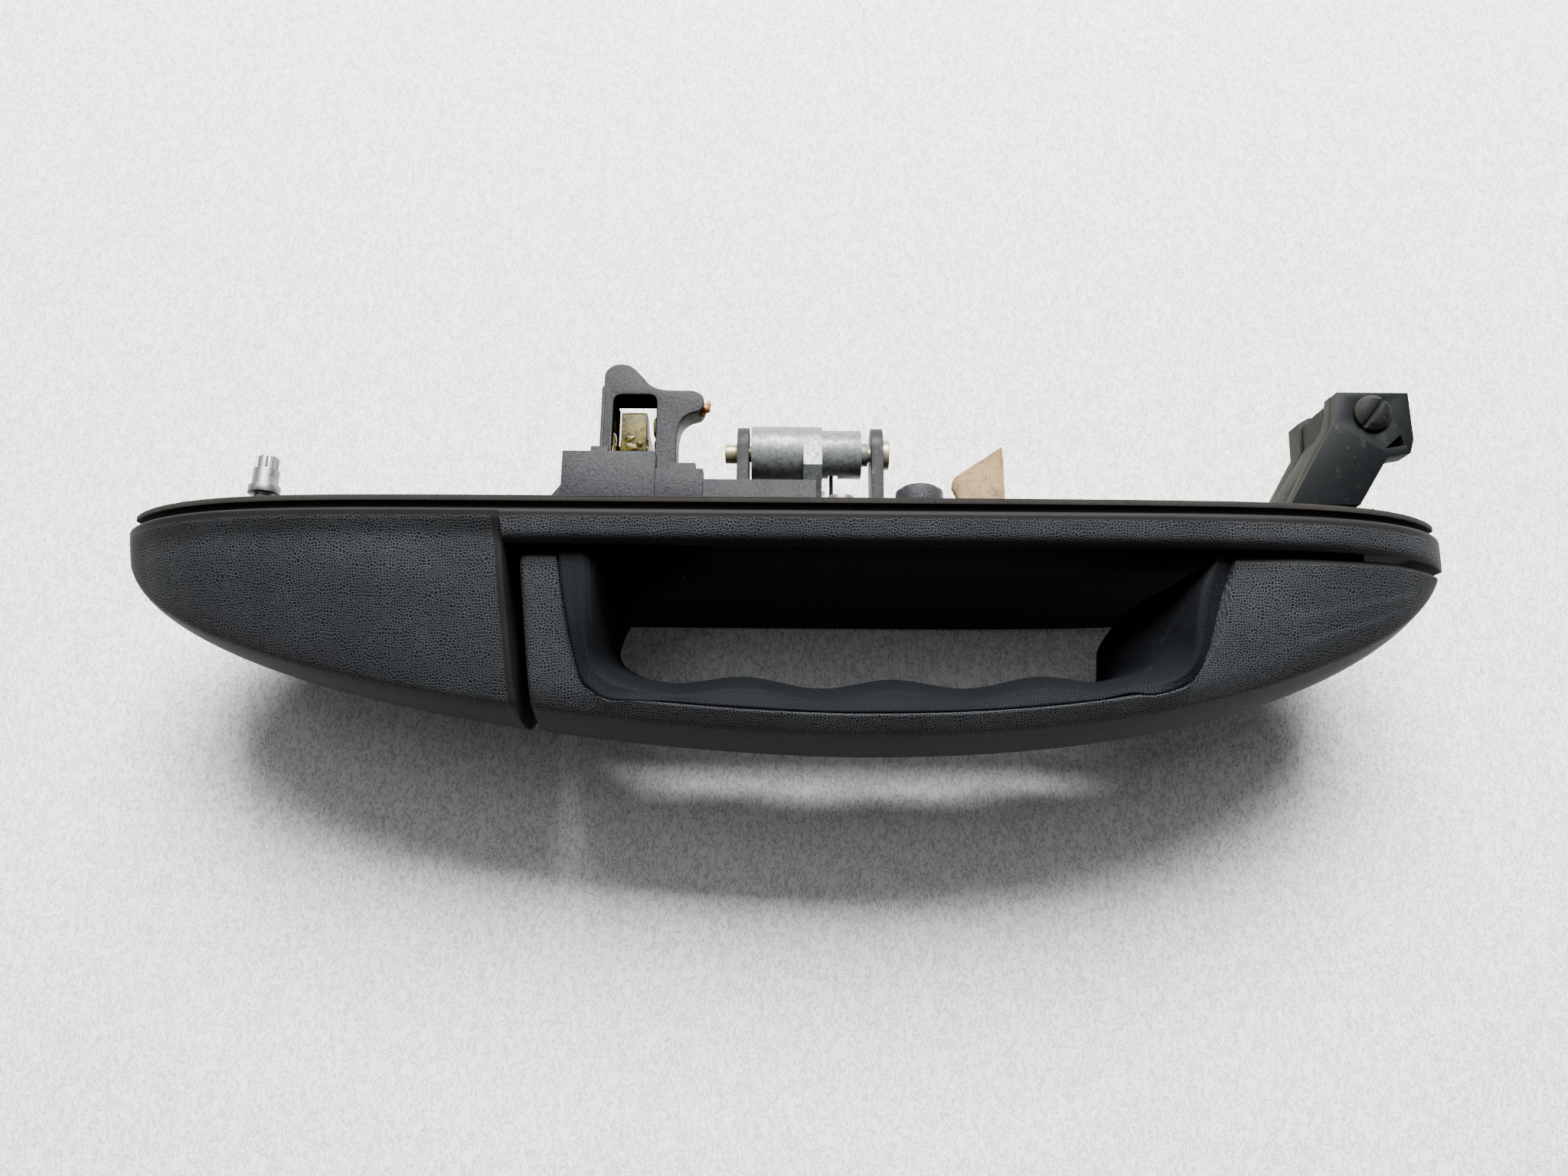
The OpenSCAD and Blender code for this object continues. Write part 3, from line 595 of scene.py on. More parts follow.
# ---------------------------------------------------------------- base
def panel_corners(x, w=0.0):
    """Corners of the fixed panel's section at x, drawn in by w, as (y, z, grain)."""
    t, b, f = top_edge(x) - w, low_edge(x) + w, front_y(x) + w
    d = BACK_Y - f
    c = CREASE_Z * (t + w) / BASE_TOP - 0.7 * w
    e = min(1.0, (t - b) / 20)
    band, foot = BACK_Y - min(4.3, 0.45 * d), BACK_Y - min(8.4, 0.6 * d)
    top = t - 2.2 * e
    return [(BACK_Y, t - 0.6 * e, 0), (BACK_Y - 0.4, t, 0), (mix(BACK_Y, band, 0.3), t - 0.25 * e, 0.0),
            (mix(BACK_Y, band, 0.42), t - 0.4 * e, 1.0), (band, top + 0.2 * e, 1.0),
            (mix(band, f, 0.22), mix(top, c, 0.14), 1), (mix(band, f, 0.45), mix(top, c, 0.4), 1),
            (mix(band, f, 0.72), mix(top, c, 0.72), 1), (f + 0.09 * d, c, 0.9),
            (f + 0.045 * d, c * 0.72, 0.0), (f + 0.01 * d, c * 0.35, 0), (f, -0.2 * c, 0),
            (f + 0.035 * d, -c * 0.65, 0), (f + 0.1 * d, -c * 1.1, 0),
            (mix(f, foot, 0.6), mix(-c * 1.1, b, 0.55), 0),
            (foot, b + 1.2 * e, 0), (BACK_Y - 0.8, b, 0), (BACK_Y, b + 0.6 * e, 0)]


PANEL_REACH = [0.3, 0.3, 0.4, 0.4, 1.2, 3, 4, 4, 0.9, 3, 4, 4, 3, 4, 6, 1.5, 0.6, 0.3]


def base_corners(x):
    """Corners of the base's section at x beside the panel, as (y, z, grain); as many as the panel has."""
    t, b = top_edge(x), low_edge(x)
    s = (t - b) / (BASE_TOP + BASE_BOTTOM)
    fill = clamp01((x - 114.5) / 4)
    wall = mix(FLOOR_Y, LIP_Y + 0.05, fill)
    low = mix(LIP_Y, LOW_LIP_Y, s * clamp01((104 - x) / 24) * clamp01((x - PANEL_END) / 9))
    lip = LIP_Y + 0.2 * (1 - fill)
    # shares below 0 paint shade: grey on the lip, near black on the pocket's wall
    return [(BACK_Y, t - 0.6 * s, 0), (BACK_Y - 0.6, t, 0), (BACK_Y - 1.3, t - 0.15 * s, 0.0),
            (BACK_Y - 1.75, t - 0.25 * s, 1.0), (LIP_Y + 1.1, t - 0.9 * s, 1.0), (LIP_Y, t - 2.5 * s, 0.0),
            (lip, t - 4.2 * s, -0.4), (wall, t - 6.5 * s, -1), (wall, mix(t, b, 0.3), -1),
            (wall, mix(t, b, 0.42), -1), (wall, mix(t, b, 0.55), -1), (wall, b + 14 * s, -1),
            (low + 0.6 * (1 - fill), b + 2.6 * s, -1),
            (low, b + 1.4 * s, 0), (low + 1.4, b + 0.5 * s, 0), (BACK_Y - 2, b + 0.2 * s, 0),
            (BACK_Y - 0.8, b, 0), (BACK_Y, b + 0.6 * s, 0)]


BASE_REACH = [0.3, 0.4, 0.4, 0.4, 1.0, 1.3, 0.7, 0.8, 1, 1, 1, 3, 0.8, 0.6, 0.7, 0.3, 0.4, 0.3]


def leaning_ring(station, share, corners, reach, middle=None, shrink=0.0):
    """Ring whose points lean into the plane of the gap between panel and strap by share."""
    out = []
    for i in range(len(corners(station))):
        x = station
        for _ in range(2):
            x = station - PARTING_LEAN * (corners(x)[i][0] + 8) * share
        y, z, grain = corners(x)[i]
        if middle:
            y, z = mix(y, middle[0], shrink), mix(z, middle[1], shrink)
        out.append((x, y, z, grain))
    return rounded(out, reach)


def tip_fade(x):
    """The grain softens towards the two tips."""
    return clamp01((x + 121) / 9) * clamp01((120.5 - x) / 4)


def bezel():
    """Base and fixed panel as one skin, hollow behind the panel, with the openings for leg and arm."""
    rings = []
    left = -HALF_LEN + 0.7
    for x, shrink in ((left, 0.30), (left + 0.12, 0.16), (left + 0.4, 0.05)):
        middle = (front_y(left) * 0.55 - 1.2, 0)
        rings.append(leaning_ring(x, 0, panel_corners, PANEL_REACH, middle, shrink))
    count = 74
    for i in range(count + 1):
        x = mix(left + 1.0, PANEL_END - 2.0, 1 - math.cos(math.pi / 2 * i / count))
        rings.append(leaning_ring(x, ease((x + 62) / 14), panel_corners, PANEL_REACH))

    def raised(amount, bare):
        """The panel's corners, lifted by amount in millimetres; bare is the share of grain that stays."""
        def corners(u):
            out = []
            for i, (y, z, grain) in enumerate(panel_corners(u)):
                lift = amount * clamp01((i - 3) / 2) * clamp01((15 - i) / 2)
                out.append((y - lift * 0.6, z + (lift * 0.8 if i < 11 else -lift * 0.3), grain * bare))
            return out
        return corners
    # smooth raised edge of the panel along the gap
    for inside, amount, bare in ((1.5, 0.02, 1), (1.1, 0.16, 0.1), (0.8, 0.22, 0), (0.45, 0.20, 0),
                                 (0.15, 0.05, 0), (0, -0.3, 0)):
        rings.append(leaning_ring(PANEL_END - inside, 1, raised(amount, bare), PANEL_REACH))
    rings.append(leaning_ring(PANEL_END + 0.3, 1, base_corners, BASE_REACH))
    count = 96
    right = HALF_LEN - 0.8
    for i in range(1, count + 1):
        x = mix(PANEL_END + 0.6, right - 0.5, math.sin(math.pi / 2 * i / count))
        rings.append(leaning_ring(x, ease((PANEL_END + 4 - x) / 4), base_corners, BASE_REACH))
    for x, shrink in ((right - 0.1, 0.06), (right, 0.2)):
        rings.append(leaning_ring(x, 0, base_corners, BASE_REACH, (-5.5, 0), shrink))
    for ring in rings:
        ring[:, 3] *= np.array([tip_fade(x) for x in ring[:, 0]])
    obj = loft("bezel_skin", rings)
    hollow = []
    for i in range(25):
        x = mix(-HALF_LEN + 7, PANEL_END - 2.6, 1 - math.cos(math.pi / 2 * i / 24))
        ring = [(x, y, z, 0) for y, z, _ in panel_corners(x, 2.6)]
        ring[0] = (x, 0.5, ring[0][2], 0)
        ring[-1] = (x, 0.5, ring[-1][2], 0)
        hollow.append(rounded(ring, [0.01] * 18, 2))
    passages = [prism("tool_passage", round_rect(*sides, 1), FLOOR_Y - 1, 0, "Y")
                for sides in ((-34.8, -17, HOOK_Z0 - 0.7, HOOK_Z1 + 0.7), (86, 104, -0.2, 8.2))]
    cut(obj, loft("tool_hollow", hollow), *passages)
    return finish_piece(obj, "base", "grained_plastic", ["base_bezel"], 38)


# ---------------------------------------------------------------- strap
def seat_line(x):
    """Back of the strap's ends; it comes forward a little at the tip."""
    return SEAT_Y - 0.9 * clamp01((x - 106) / 12)


def waves(x):
    """Inner side of the strap, with the finger waves."""
    return -29.6 + WAVE_RISE * math.cos(math.radians(360 * (x - 19) / WAVE_PITCH)) + 0.0008 * (x - 14) ** 2


def end_scale(x):
    """How much of its height the strap has at x, above the middle."""
    return min(1.0, top_edge(x) / 19)


def low_scale(x):
    """How much of its height the strap has at x, below the middle."""
    return min(1.0, -low_edge(x) / 14)


# where the seam between shell and grip runs on the strap's two ends, as (x, y)
LEFT_SEAM = [(-38.6, -8.8), (-38.0, -14), (-36.4, -21.8), (-34.6, -29.5), (-32.9, -31.9), (-29.2, -33.9)]
RIGHT_SEAM = [(62.5, -32.4), (67.6, -30.9), (71.2, -28.0), (73.9, -22.6), (75.6, -15.4), (76.4, -8.8)]


def follow(points, value):
    """The second column of the points where the first has this value; it stays as it is past their ends."""
    first, second = zip(*sorted(points))
    return float(np.interp(value, first, second))


def seam_x(seam, y):
    """X of a seam at depth y."""
    return follow([(p[1], p[0]) for p in seam], y)


def crest_y(x):
    """The crest, where the shell's top ends against the grip; it swings into the seams at the ends."""
    f = front_y(x)
    mid = f + 6.2 * min(1, (seat_line(x) - f) / 20)
    if x < -24:
        return min(mid + 4, mix(follow(LEFT_SEAM, x), mid, ease((x + 31) / 7)))
    if x > 58:
        return mix(mid, follow(RIGHT_SEAM, x), ease((x - 58) / 6))
    return mid


def nose(x):
    """Corners of the strap's front from below the crest to above the heel, as (y, z, grain)."""
    f, s, l = front_y(x), end_scale(x), low_scale(x)
    k = min(1, (seat_line(x) - f) / 20)
    edge = clamp01((x + 45) / 4) * clamp01((114 - x) / 16)
    return [(f + 3.2 * k, CREASE_Z * s, 0.75), (f + 2.2 * k, 7.6 * s, 0.30 * (1 - edge)),
            (f + 0.7 * k, 4.2 * s, 0), (f, -0.4, 0), (f + 0.8 * k, -5 * l, 0), (f + 3 * k, -9.5 * l, 0),
            (f + 6 * k, LOW_Z * l, 0)]


def end_corners(x):
    """Corners of the whole section of the strap's two ends, as (y, z, grain)."""
    f, b, s, l = front_y(x), seat_line(x), end_scale(x), low_scale(x)
    k = min(1, (b - f) / 20)
    c = (f + 6.2 * k, 11.4 * s)
    a = (b - 1.2 * s, (TOP_Z - 0.3) * s)
    return ([(b, (TOP_Z - 1.2) * s, 0), (*a, 0.5), (mix(a[0], c[0], 0.06), mix(a[1], c[1], 0.04), 1),
             (mix(a[0], c[0], 0.4), mix(a[1], c[1], 0.33), 1),
             (mix(a[0], c[0], 0.75), mix(a[1], c[1], 0.7), 1), (*c, 1)] + nose(x)
            + [(mix(b, f, 0.04), LOW_Z * l, 0), (b, (LOW_Z + 1) * l, 0)])


END_REACH = [0.5, 0.8, 0.7, 4, 3, 2.2, 0.9, 1.5, 3, 3, 3, 3, 1.2, 0.6, 0.5]


def strip_corners(x):
    """Corners of the shell's section in front of the grip; as many as the ends have."""
    c, h = crest_y(x), front_y(x)
    back = max(c, h + 6) + 2.2
    return ([(back, 1, 0), (back, 4, 0), (back, 6.5, 0), (c + 1.2, 9.0, 0), (c + 0.25, 11.4, 0.4),
             (c - 0.15, 11.75, 1)] + nose(x) + [(back, -9, 0), (back, -3, 0)])


STRIP_REACH = [0.5, 0.5, 0.8, 0.6, 0.2, 0.35, 0.9, 1.5, 3, 3, 3, 3, 1.0, 0.6, 0.5]


def shell():
    """The strap's grained shell: both whole ends, and the strip in front of the grip between them."""
    rings = []

    def ring_of(station, corners, reach, shift, middle=None, shrink=0.0):
        """Ring at a station whose points are moved along x by shift, and drawn in to middle by shrink."""
        out = []
        for i in range(len(corners(station))):
            x = station
            for _ in range(3):
                x = station + shift(corners(min(x, STRAP_RIGHT))[i][0])
            y, z, grain = corners(min(x, STRAP_RIGHT))[i]
            if middle:
                y, z = mix(y, middle[0], shrink * 0.5), mix(z, middle[1], shrink)
            out.append((x, y, z, grain * (1 - clamp01(shrink * 9))))
        return rounded(out, reach)

    def lean(y):
        return -PARTING_LEAN * (y + 8)

    seam0 = LEFT_SEAM[0][0]
    # rounded free end beside the gap
    for x, shrink in ((0, 0.105), (0.18, 0.058), (0.5, 0.022), (1.0, 0.004)):
        rings.append(ring_of(STRAP_LEFT + x, end_corners, END_REACH, lean, (-24, 1.5), shrink))
    for i in range(1, 16):
        t = i / 15
        station = mix(STRAP_LEFT + 1.2, seam0 - 0.3, t)

        def between(y, t=t):
            return mix(lean(y), seam_x(LEFT_SEAM, y) - seam0, ease(t) if t < 1 else 1)
        rings.append(ring_of(station, end_corners, END_REACH, between))

    def at_left(y):
        return seam_x(LEFT_SEAM, y) - seam0

    rings.append(ring_of(seam0 - 0.12, end_corners, END_REACH, at_left, (-24, 2), 0.012))
    # the strip in front of the grip
    first, last = -33.2, 68.6
    count = 110
    for i in range(count + 1):
        x = mix(first, last, i / count)
        rings.append(rounded([(x, y, z, g) for y, z, g in strip_corners(x)], STRIP_REACH))
    seam1 = RIGHT_SEAM[-1][0]

    def at_right(y):
        return seam_x(RIGHT_SEAM, y) - seam1

    rings.append(ring_of(seam1 + 0.12, end_corners, END_REACH, at_right, (-24, 2), 0.012))
    for i in range(46):
        t = i / 45
        station = mix(seam1 + 0.3, STRAP_RIGHT - 0.5, math.sin(math.pi / 2 * t))

        def between(y, t=t):
            return at_right(y) * (1 - ease(t * 2.2))
        rings.append(ring_of(station, end_corners, END_REACH, between))
    for x, shrink in ((0.1, 0.06), (0, 0.2)):
        rings.append(ring_of(STRAP_RIGHT - x, end_corners, END_REACH, lambda y: 0.0, (-12, 1), shrink))
    for ring in rings:
        x = ring[:, 0]
        ring[:, 3] *= np.clip((117.5 - x) / 8, 0, 1)
    obj = loft("strap_shell", rings)
    return finish_piece(obj, "handle", "grained_plastic", ["handle_shell"], 40)


def spline(values, count):
    """Smooth curve through the rows of values, count points per span (Catmull-Rom)."""
    v = np.asarray(values, float)
    v = np.vstack([2 * v[0] - v[1], v, 2 * v[-1] - v[-2]])
    out = []
    for i in range(1, len(v) - 2):
        for k in range(count):
            t = k / count
            a, b, c, d = v[i - 1:i + 3]
            out.append(0.5 * (2 * b + (c - a) * t + (2 * a - 5 * b + 4 * c - d) * t * t
                              + (3 * b - a - 3 * c + d) * t ** 3))
    return np.array(out + [v[-2]])


def grip_stations():
    """Stations along the grip: outer point, ridge, upper inner and lower inner point of each section.
    Columns: outer x y, ridge x y z, upper inner x y z, lower inner x y z, outer top z."""
    rows = []
    # free end, from the seat outwards
    for (ox, oy), (rx, ry), (ux, uy), (lx, ly) in (
            (LEFT_SEAM[0], (-33.9, -8.8), (-32.4, -8.8), (-31.2, -8.8)),
            (LEFT_SEAM[1], (-33.5, -14.5), (-32.0, -14.8), (-31.0, -14.8)),
            (LEFT_SEAM[2], (-33.1, -20.5), (-31.5, -20.8), (-30.7, -20.0)),
            (LEFT_SEAM[3], (-32.3, -26.2), (-30.4, -26.2), (-30.0, -23.6)),
            (LEFT_SEAM[4], (-30.4, -29.4), (-28.4, -28.0), (-28.0, -25.6)),
            (LEFT_SEAM[5], (-26.4, -31.2), (-24.6, -29.2), (-23.6, -27.6))):
        out = clamp01((-20 - oy) / 13)
        rows.append((ox, oy, rx, ry, mix(TOP_Z, 11.6, out), ux, uy, mix(14.2, 7.5, out),
                     lx, ly, mix(-10.2, -8, out), mix(15.9, 11.9, out)))
    # fingers
    for i in range(17):
        x = mix(-19, 54, i / 16)
        y = waves(x)
        rows.append((x, crest_y(x), x, y - 2.7, 10.6, x, y, 6.2, x, y, -6.4, 11.9))
    # sweep into the hinge end
    for (ox, oy), (rx, ry, rz), (ux, uy, uz), (lx, ly, lz) in (
            ((58.6, -32.2), (59.4, -30.4, 10.9), (59.2, -27.9, 6), (58.6, -27.4, -7)),
            (RIGHT_SEAM[0], (63.6, -30.0, 11.6), (63.2, -26.9, 6.4), (58.9, -25.2, -7.5)),
            (RIGHT_SEAM[1], (67.3, -28.4, 12.8), (65.0, -24.6, 6.4), (58.5, -22.6, -8)),
            (RIGHT_SEAM[2], (69.3, -25.4, 14.0), (66.0, -21.6, 6.2), (59.0, -19.8, -8.5)),
            (RIGHT_SEAM[3], (69.8, -20.2, 15.0), (67.2, -17.4, 6), (62.8, -15.0, -9)),
            (RIGHT_SEAM[4], (70.8, -14.2, 15.6), (69.8, -12.4, 6), (68.2, -10.8, -9.6)),
            (RIGHT_SEAM[5], (73.6, -8.8, 15.6), (73.4, -8.8, 6), (73.0, -8.8, -10))):
        top = mix(11.9, 15.8, clamp01((20 + oy) / 13)) if oy > -32 else 11.9
        rows.append((ox, oy, rx, ry, rz, ux, uy, uz, lx, ly, lz, top))
    return rows


def grip():
    """The strap's liner, lofted along its stations from the free end to the hinge end."""
    rows = spline(grip_stations(), 6)
    rings = []
    for ox, oy, rx, ry, rz, ux, uy, uz, lx, ly, lz, oz in rows:
        inx, iny = ux - ox, uy - oy
        span = max(1e-6, math.hypot(inx, iny))
        inx, iny = inx / span, iny / span
        # the underside lies a little higher along the fingers
        low = -11.3 if abs(iny) >= 0.99 and -28 <= ox <= 60 else -11.4
        corners = [(ox + inx * 0.15, oy + iny * 0.15, -4), (ox + inx * 0.15, oy + iny * 0.15, 5),
                   (ox + inx * 0.12, oy + iny * 0.12, oz - 0.45), (ox + inx * 0.55, oy + iny * 0.55, oz),
                   (mix(ox, rx, 0.55), mix(oy, ry, 0.55), mix(oz, rz, 0.5) - 0.15), (rx, ry, rz),
                   (ux, uy, uz), (mix(ux, lx, 0.6), mix(uy, ly, 0.6), mix(uz, lz, 0.5)), (lx, ly, lz),
                   (lx - inx * 1.8, ly - iny * 1.8, low), (ox + inx * 0.9, oy + iny * 0.9, low)]
        trace = mix(0.45, 0.85, ease((ox - 30) / 35))
        shares = [0, 0, trace, trace, trace, 0.7 * trace, 0.2, 0, 0, 0, 0]
        rings.append(rounded([(*c, g) for c, g in zip(corners, shares)],
                             [0.5, 0.5, 0.3, 0.5, 2.0, 1.5, 2.6, 3, 1.4, 1.2, 0.8], 5))
    path = rows[:, :2]
    along = np.append(0, np.cumsum(np.linalg.norm(np.diff(path, axis=0), axis=1)))
    obj = loft("strap_grip", rings, along)
    return finish_piece(obj, "handle", "smooth_plastic", ["handle_grip"], 50)


def free_end_sweep():
    """Hollowed side of the free end: from the grip's ridge it sweeps in to the edge beside the gap; its
    hollow is painted dark as shade.
    """
    rows = spline([(-32.4, -6.1, 14.6, -13.6, -6.1, 8.6), (-32.5, -7.6, 14.9, -16.2, -7.4, 6.6),
                   (-32.5, -10.6, 15.0, -20.6, -9.9, 3.9), (-32.4, -13.4, 14.6, -24.6, -12.3, 2.2),
                   (-32.3, -17.0, 14.0, -28.0, -16.2, 0.8), (-32.2, -20.6, 13.0, -29.9, -20.4, 0.4),
                   (-32.0, -24.0, 12.0, -30.6, -24.2, 0.4)], 8)
    rings = []
    for rx, ry, rz, ex, ey, ez in rows:
        bow = [(mix(rx, ex, t), mix(ry, ey, t), mix(ez, rz, h))
               for t, h in ((0.16, 0.66), (0.34, 0.40), (0.56, 0.20), (0.76, 0.09))]
        # thin groove beside the edge
        bow += [(mix(rx, ex, 0.79), mix(ry, ey, 0.79), mix(ez, rz, 0.03)),
                (mix(rx, ex, 0.82), mix(ry, ey, 0.82), mix(ez, rz, 0.07))]
        ring = [(rx, ry, rz)] + bow + [(ex, ey, ez), (ex + 0.2, ey + 0.1, ez - 4.5), (ex - 0.2, ey, -9.0),
                                       (rx - 1.5, ry, -9.0), (rx - 1.5, ry, 6)]
        # shares below 0 paint shade, near black in the hollow and below the edge
        shares = [0, -0.3, -0.6, -0.7, -0.8, -1, -0.8, -0.8, -1, -1, -1, 0]
        rings.append(rounded([(*c, g) for c, g in zip(ring, shares)],
                             [0.6, 1.2, 1.6, 1.8, 0.3, 0.25, 0.5, 0.7, 2, 0.8, 0.4, 1], 4))
    obj = loft("free_end_sweep", rings)
    return finish_piece(obj, "handle", "smooth_plastic", angle=45)


# ---------------------------------------------------------------- mechanism
def head_pockets():
    """Cutters for the pockets of the hook leg's two screw heads."""
    return [prism("tool_head", circle(x, z, HOOK_HEAD_R), -7.4, 0, "Y") for x, z in HOOK_SCREWS]


def hook_leg():
    """Hook leg with its ribbed outer side, the nose and the window that the crank's finger stands in."""
    outline = spline([(-33.2, 24.8), (-33.1, 27.2), (-31.8, 28.6), (-29.9, 28.95), (-28.0, 28.3),
                      (-26.3, 26.6), (-24.6, 24.8), (-22.4, 24.0), (-19.4, 23.85), (-16.8, 23.8),
                      (-15.2, 22.9), (-14.85, 21.3), (-15.6, 19.9), (-17.5, 19.2), (-19.0, 17.8),
                      (-19.65, 15.4)], 5)
    outline = [(-33.2, -5.8)] + [tuple(p) for p in outline] + [(-19.7, -5.8)]
    obj = prism("hook_leg_skin", outline, HOOK_Z0, HOOK_Z1)
    opening = rounded([(-31.3, 9), (-23.5, 9), (-23.5, 22.9), (-31.3, 22.9)], [0.4, 0.4, 1.6, 1.6], 7)
    cut(obj, prism("tool_window", opening, HOOK_Z0 - 1, HOOK_Z1 + 1), *head_pockets())
    bevel(obj, 0.45, 3, 40)
    finish_piece(obj, "handle", "mechanism_plastic", ["hook_leg"], 40)
    # the window's walls are greasy and painted near black as shade
    obj.data.materials.append(looks["inside"])
    for face in obj.data.polygons:
        x, y, _ = face.center / MM
        if abs(face.normal.z) < 0.75 and -31.6 < x < -23.2 and 8.7 < y < 23.3:
            face.material_index = 1
    # long ribs on top and outer side
    for i, (x0, x1, z1) in enumerate(((-33.8, -33.2, 6.2), (-33.5, -32.9, 8.25), (-32.3, -31.9, 8.3))):
        corners = [(x0, 2.5), (x1, 2.5), (x1, 25.5 - 0.8 * i), (x0, 25.0 - 0.8 * i)]
        rib = prism(f"hook_leg_rib_{i}", rounded(corners, [0.2] * 4, 4), 3.0, z1)
        bevel(rib, 0.15, 2, 40)
        finish_piece(rib, "handle", "mechanism_plastic", angle=40)
    # deeper walls past the window and beside it, in the near-black look that paints shade there, short
    # enough to clear the carrier and the crank
    for name, corners, low in (
            ("hook_leg_wall",
             [(-32.6, 23.3), (-20.4, 23.3), (-20.4, 23.7), (-27, 26.6), (-32.6, 26.9)], 0.4),
            ("hook_leg_side", [(-33.2, 14.8), (-31.4, 14.8), (-31.4, 23.5), (-33.2, 23.5)], -1.6)):
        wall = prism(name, rounded(corners, [0.2] * len(corners), 3), low, 3.2)
        finish_piece(wall, "handle", "mechanism_plastic", angle=40, look="inside")
    corners = [(-39.5, -5.5), (-18.5, -5.5), (-18.5, 0), (-30, 12), (-39.5, 12)]
    flange = prism("hook_flange_skin", rounded(corners, [0.8] * 5, 4), SEAT_Y, -5.7, "Y")
    cut(flange, *head_pockets())
    finish_piece(flange, "handle", "mechanism_plastic", angle=40)


def blob(name, body, look, lumps, seed):
    """A smear of grease: soft lumps (x, y, z, rx, ry, rz) with an uneven skin, melted into one."""
    draw = random.Random(seed)
    points, faces = [], []
    rows, turns, unevenness, waves_per_lump = 10, 16, 0.11, 4
    for x, y, z, rx, ry, rz in lumps:
        ripples = [(draw.uniform(0, 6.3), draw.uniform(0, 6.3), draw.randint(2, 4), draw.randint(1, 4))
                   for _ in range(waves_per_lump)]
        first = len(points)
        for i in range(rows + 1):
            lat = math.pi * i / rows
            for k in range(turns):
                lon = 2 * math.pi * k / turns
                swell = 1 + unevenness * math.sin(lat) * sum(
                    math.sin(a + m * lon) * math.sin(b + n * lat) for a, b, m, n in ripples)
                points.append((x + rx * swell * math.sin(lat) * math.cos(lon),
                               y + ry * swell * math.sin(lat) * math.sin(lon),
                               z + rz * swell * math.cos(lat)))
        for i in range(rows):
            for k in range(turns):
                a, b = first + i * turns, first + (i + 1) * turns
                faces.append((a + k, a + (k + 1) % turns, b + (k + 1) % turns, b + k))
    obj = mesh_of(name, points, faces)
    step = obj.modifiers.new("melt", "REMESH")
    step.mode = "VOXEL"
    step.voxel_size = 0.14 * MM
    soften = obj.modifiers.new("soften", "SMOOTH")
    soften.factor, soften.iterations = 0.5, 9
    settle(obj)
    # grease has no slot of its own; the slot of what it lies on is passed along, but the grease's own look
    # is the material
    slot = "cast_zinc" if body == "crank" else "mechanism_plastic"
    return finish_piece(obj, body, slot, angle=80, look=look)


def label():
    """Folded paper tag: one sheet over another, the fold on its outer left side; its print is left out."""
    foot_y, thick = BACK_Y + 0.2, 0.18

    def sheet(name, fold, foot, rise, curl):
        """A curled sheet between two lines of (x, y), at a height of rise."""
        rings = []
        for i in range(25):
            u = i / 24
            top, low = (mix(*np.array(line), u) for line in (fold, foot))
            # the folded corner is round
            top = top + (low - top) * 0.16 * max(0, 1 - u / 0.14) ** 2
            ring = []
            for side in (0, 1):
                for k in range(13):
                    v = k / 12 if side == 0 else 1 - k / 12
                    x, y = top + (low - top) * v
                    bow = curl * (math.sin(math.pi * v) * 0.9 - 1.6 * (1 - v) ** 5 - 1.3 * (1 - u) ** 4)
                    crumple = 0.10 * math.sin(7 * u + 5 * v) + 0.06 * math.sin(17 * u - 11 * v)
                    z = rise + bow + crumple - (thick if side else 0)
                    ring.append((x, y, z, 0))
            rings.append(ring)
        return loft(name, rings)

    # name, ends of the fold, x of the foot's ends, height, curl, replaced nodes
    for name, fold, (foot0, foot1), rise, curl, nodes in (
            ("label_sheet", ((29.3, 5.0), (38.0, 11.6)), (31.8, 38.4), 12.9, 0.9, ["label_tag"]),
            ("label_under", ((28.8, 5.6), (38.5, 12.1)), (32.6, 38.2), 12.1, 0.55, [])):
        obj = sheet(name, fold, ((foot0, foot_y), (foot1, foot_y)), rise, curl)
        finish_piece(obj, "base", "label_paper", nodes, 60)
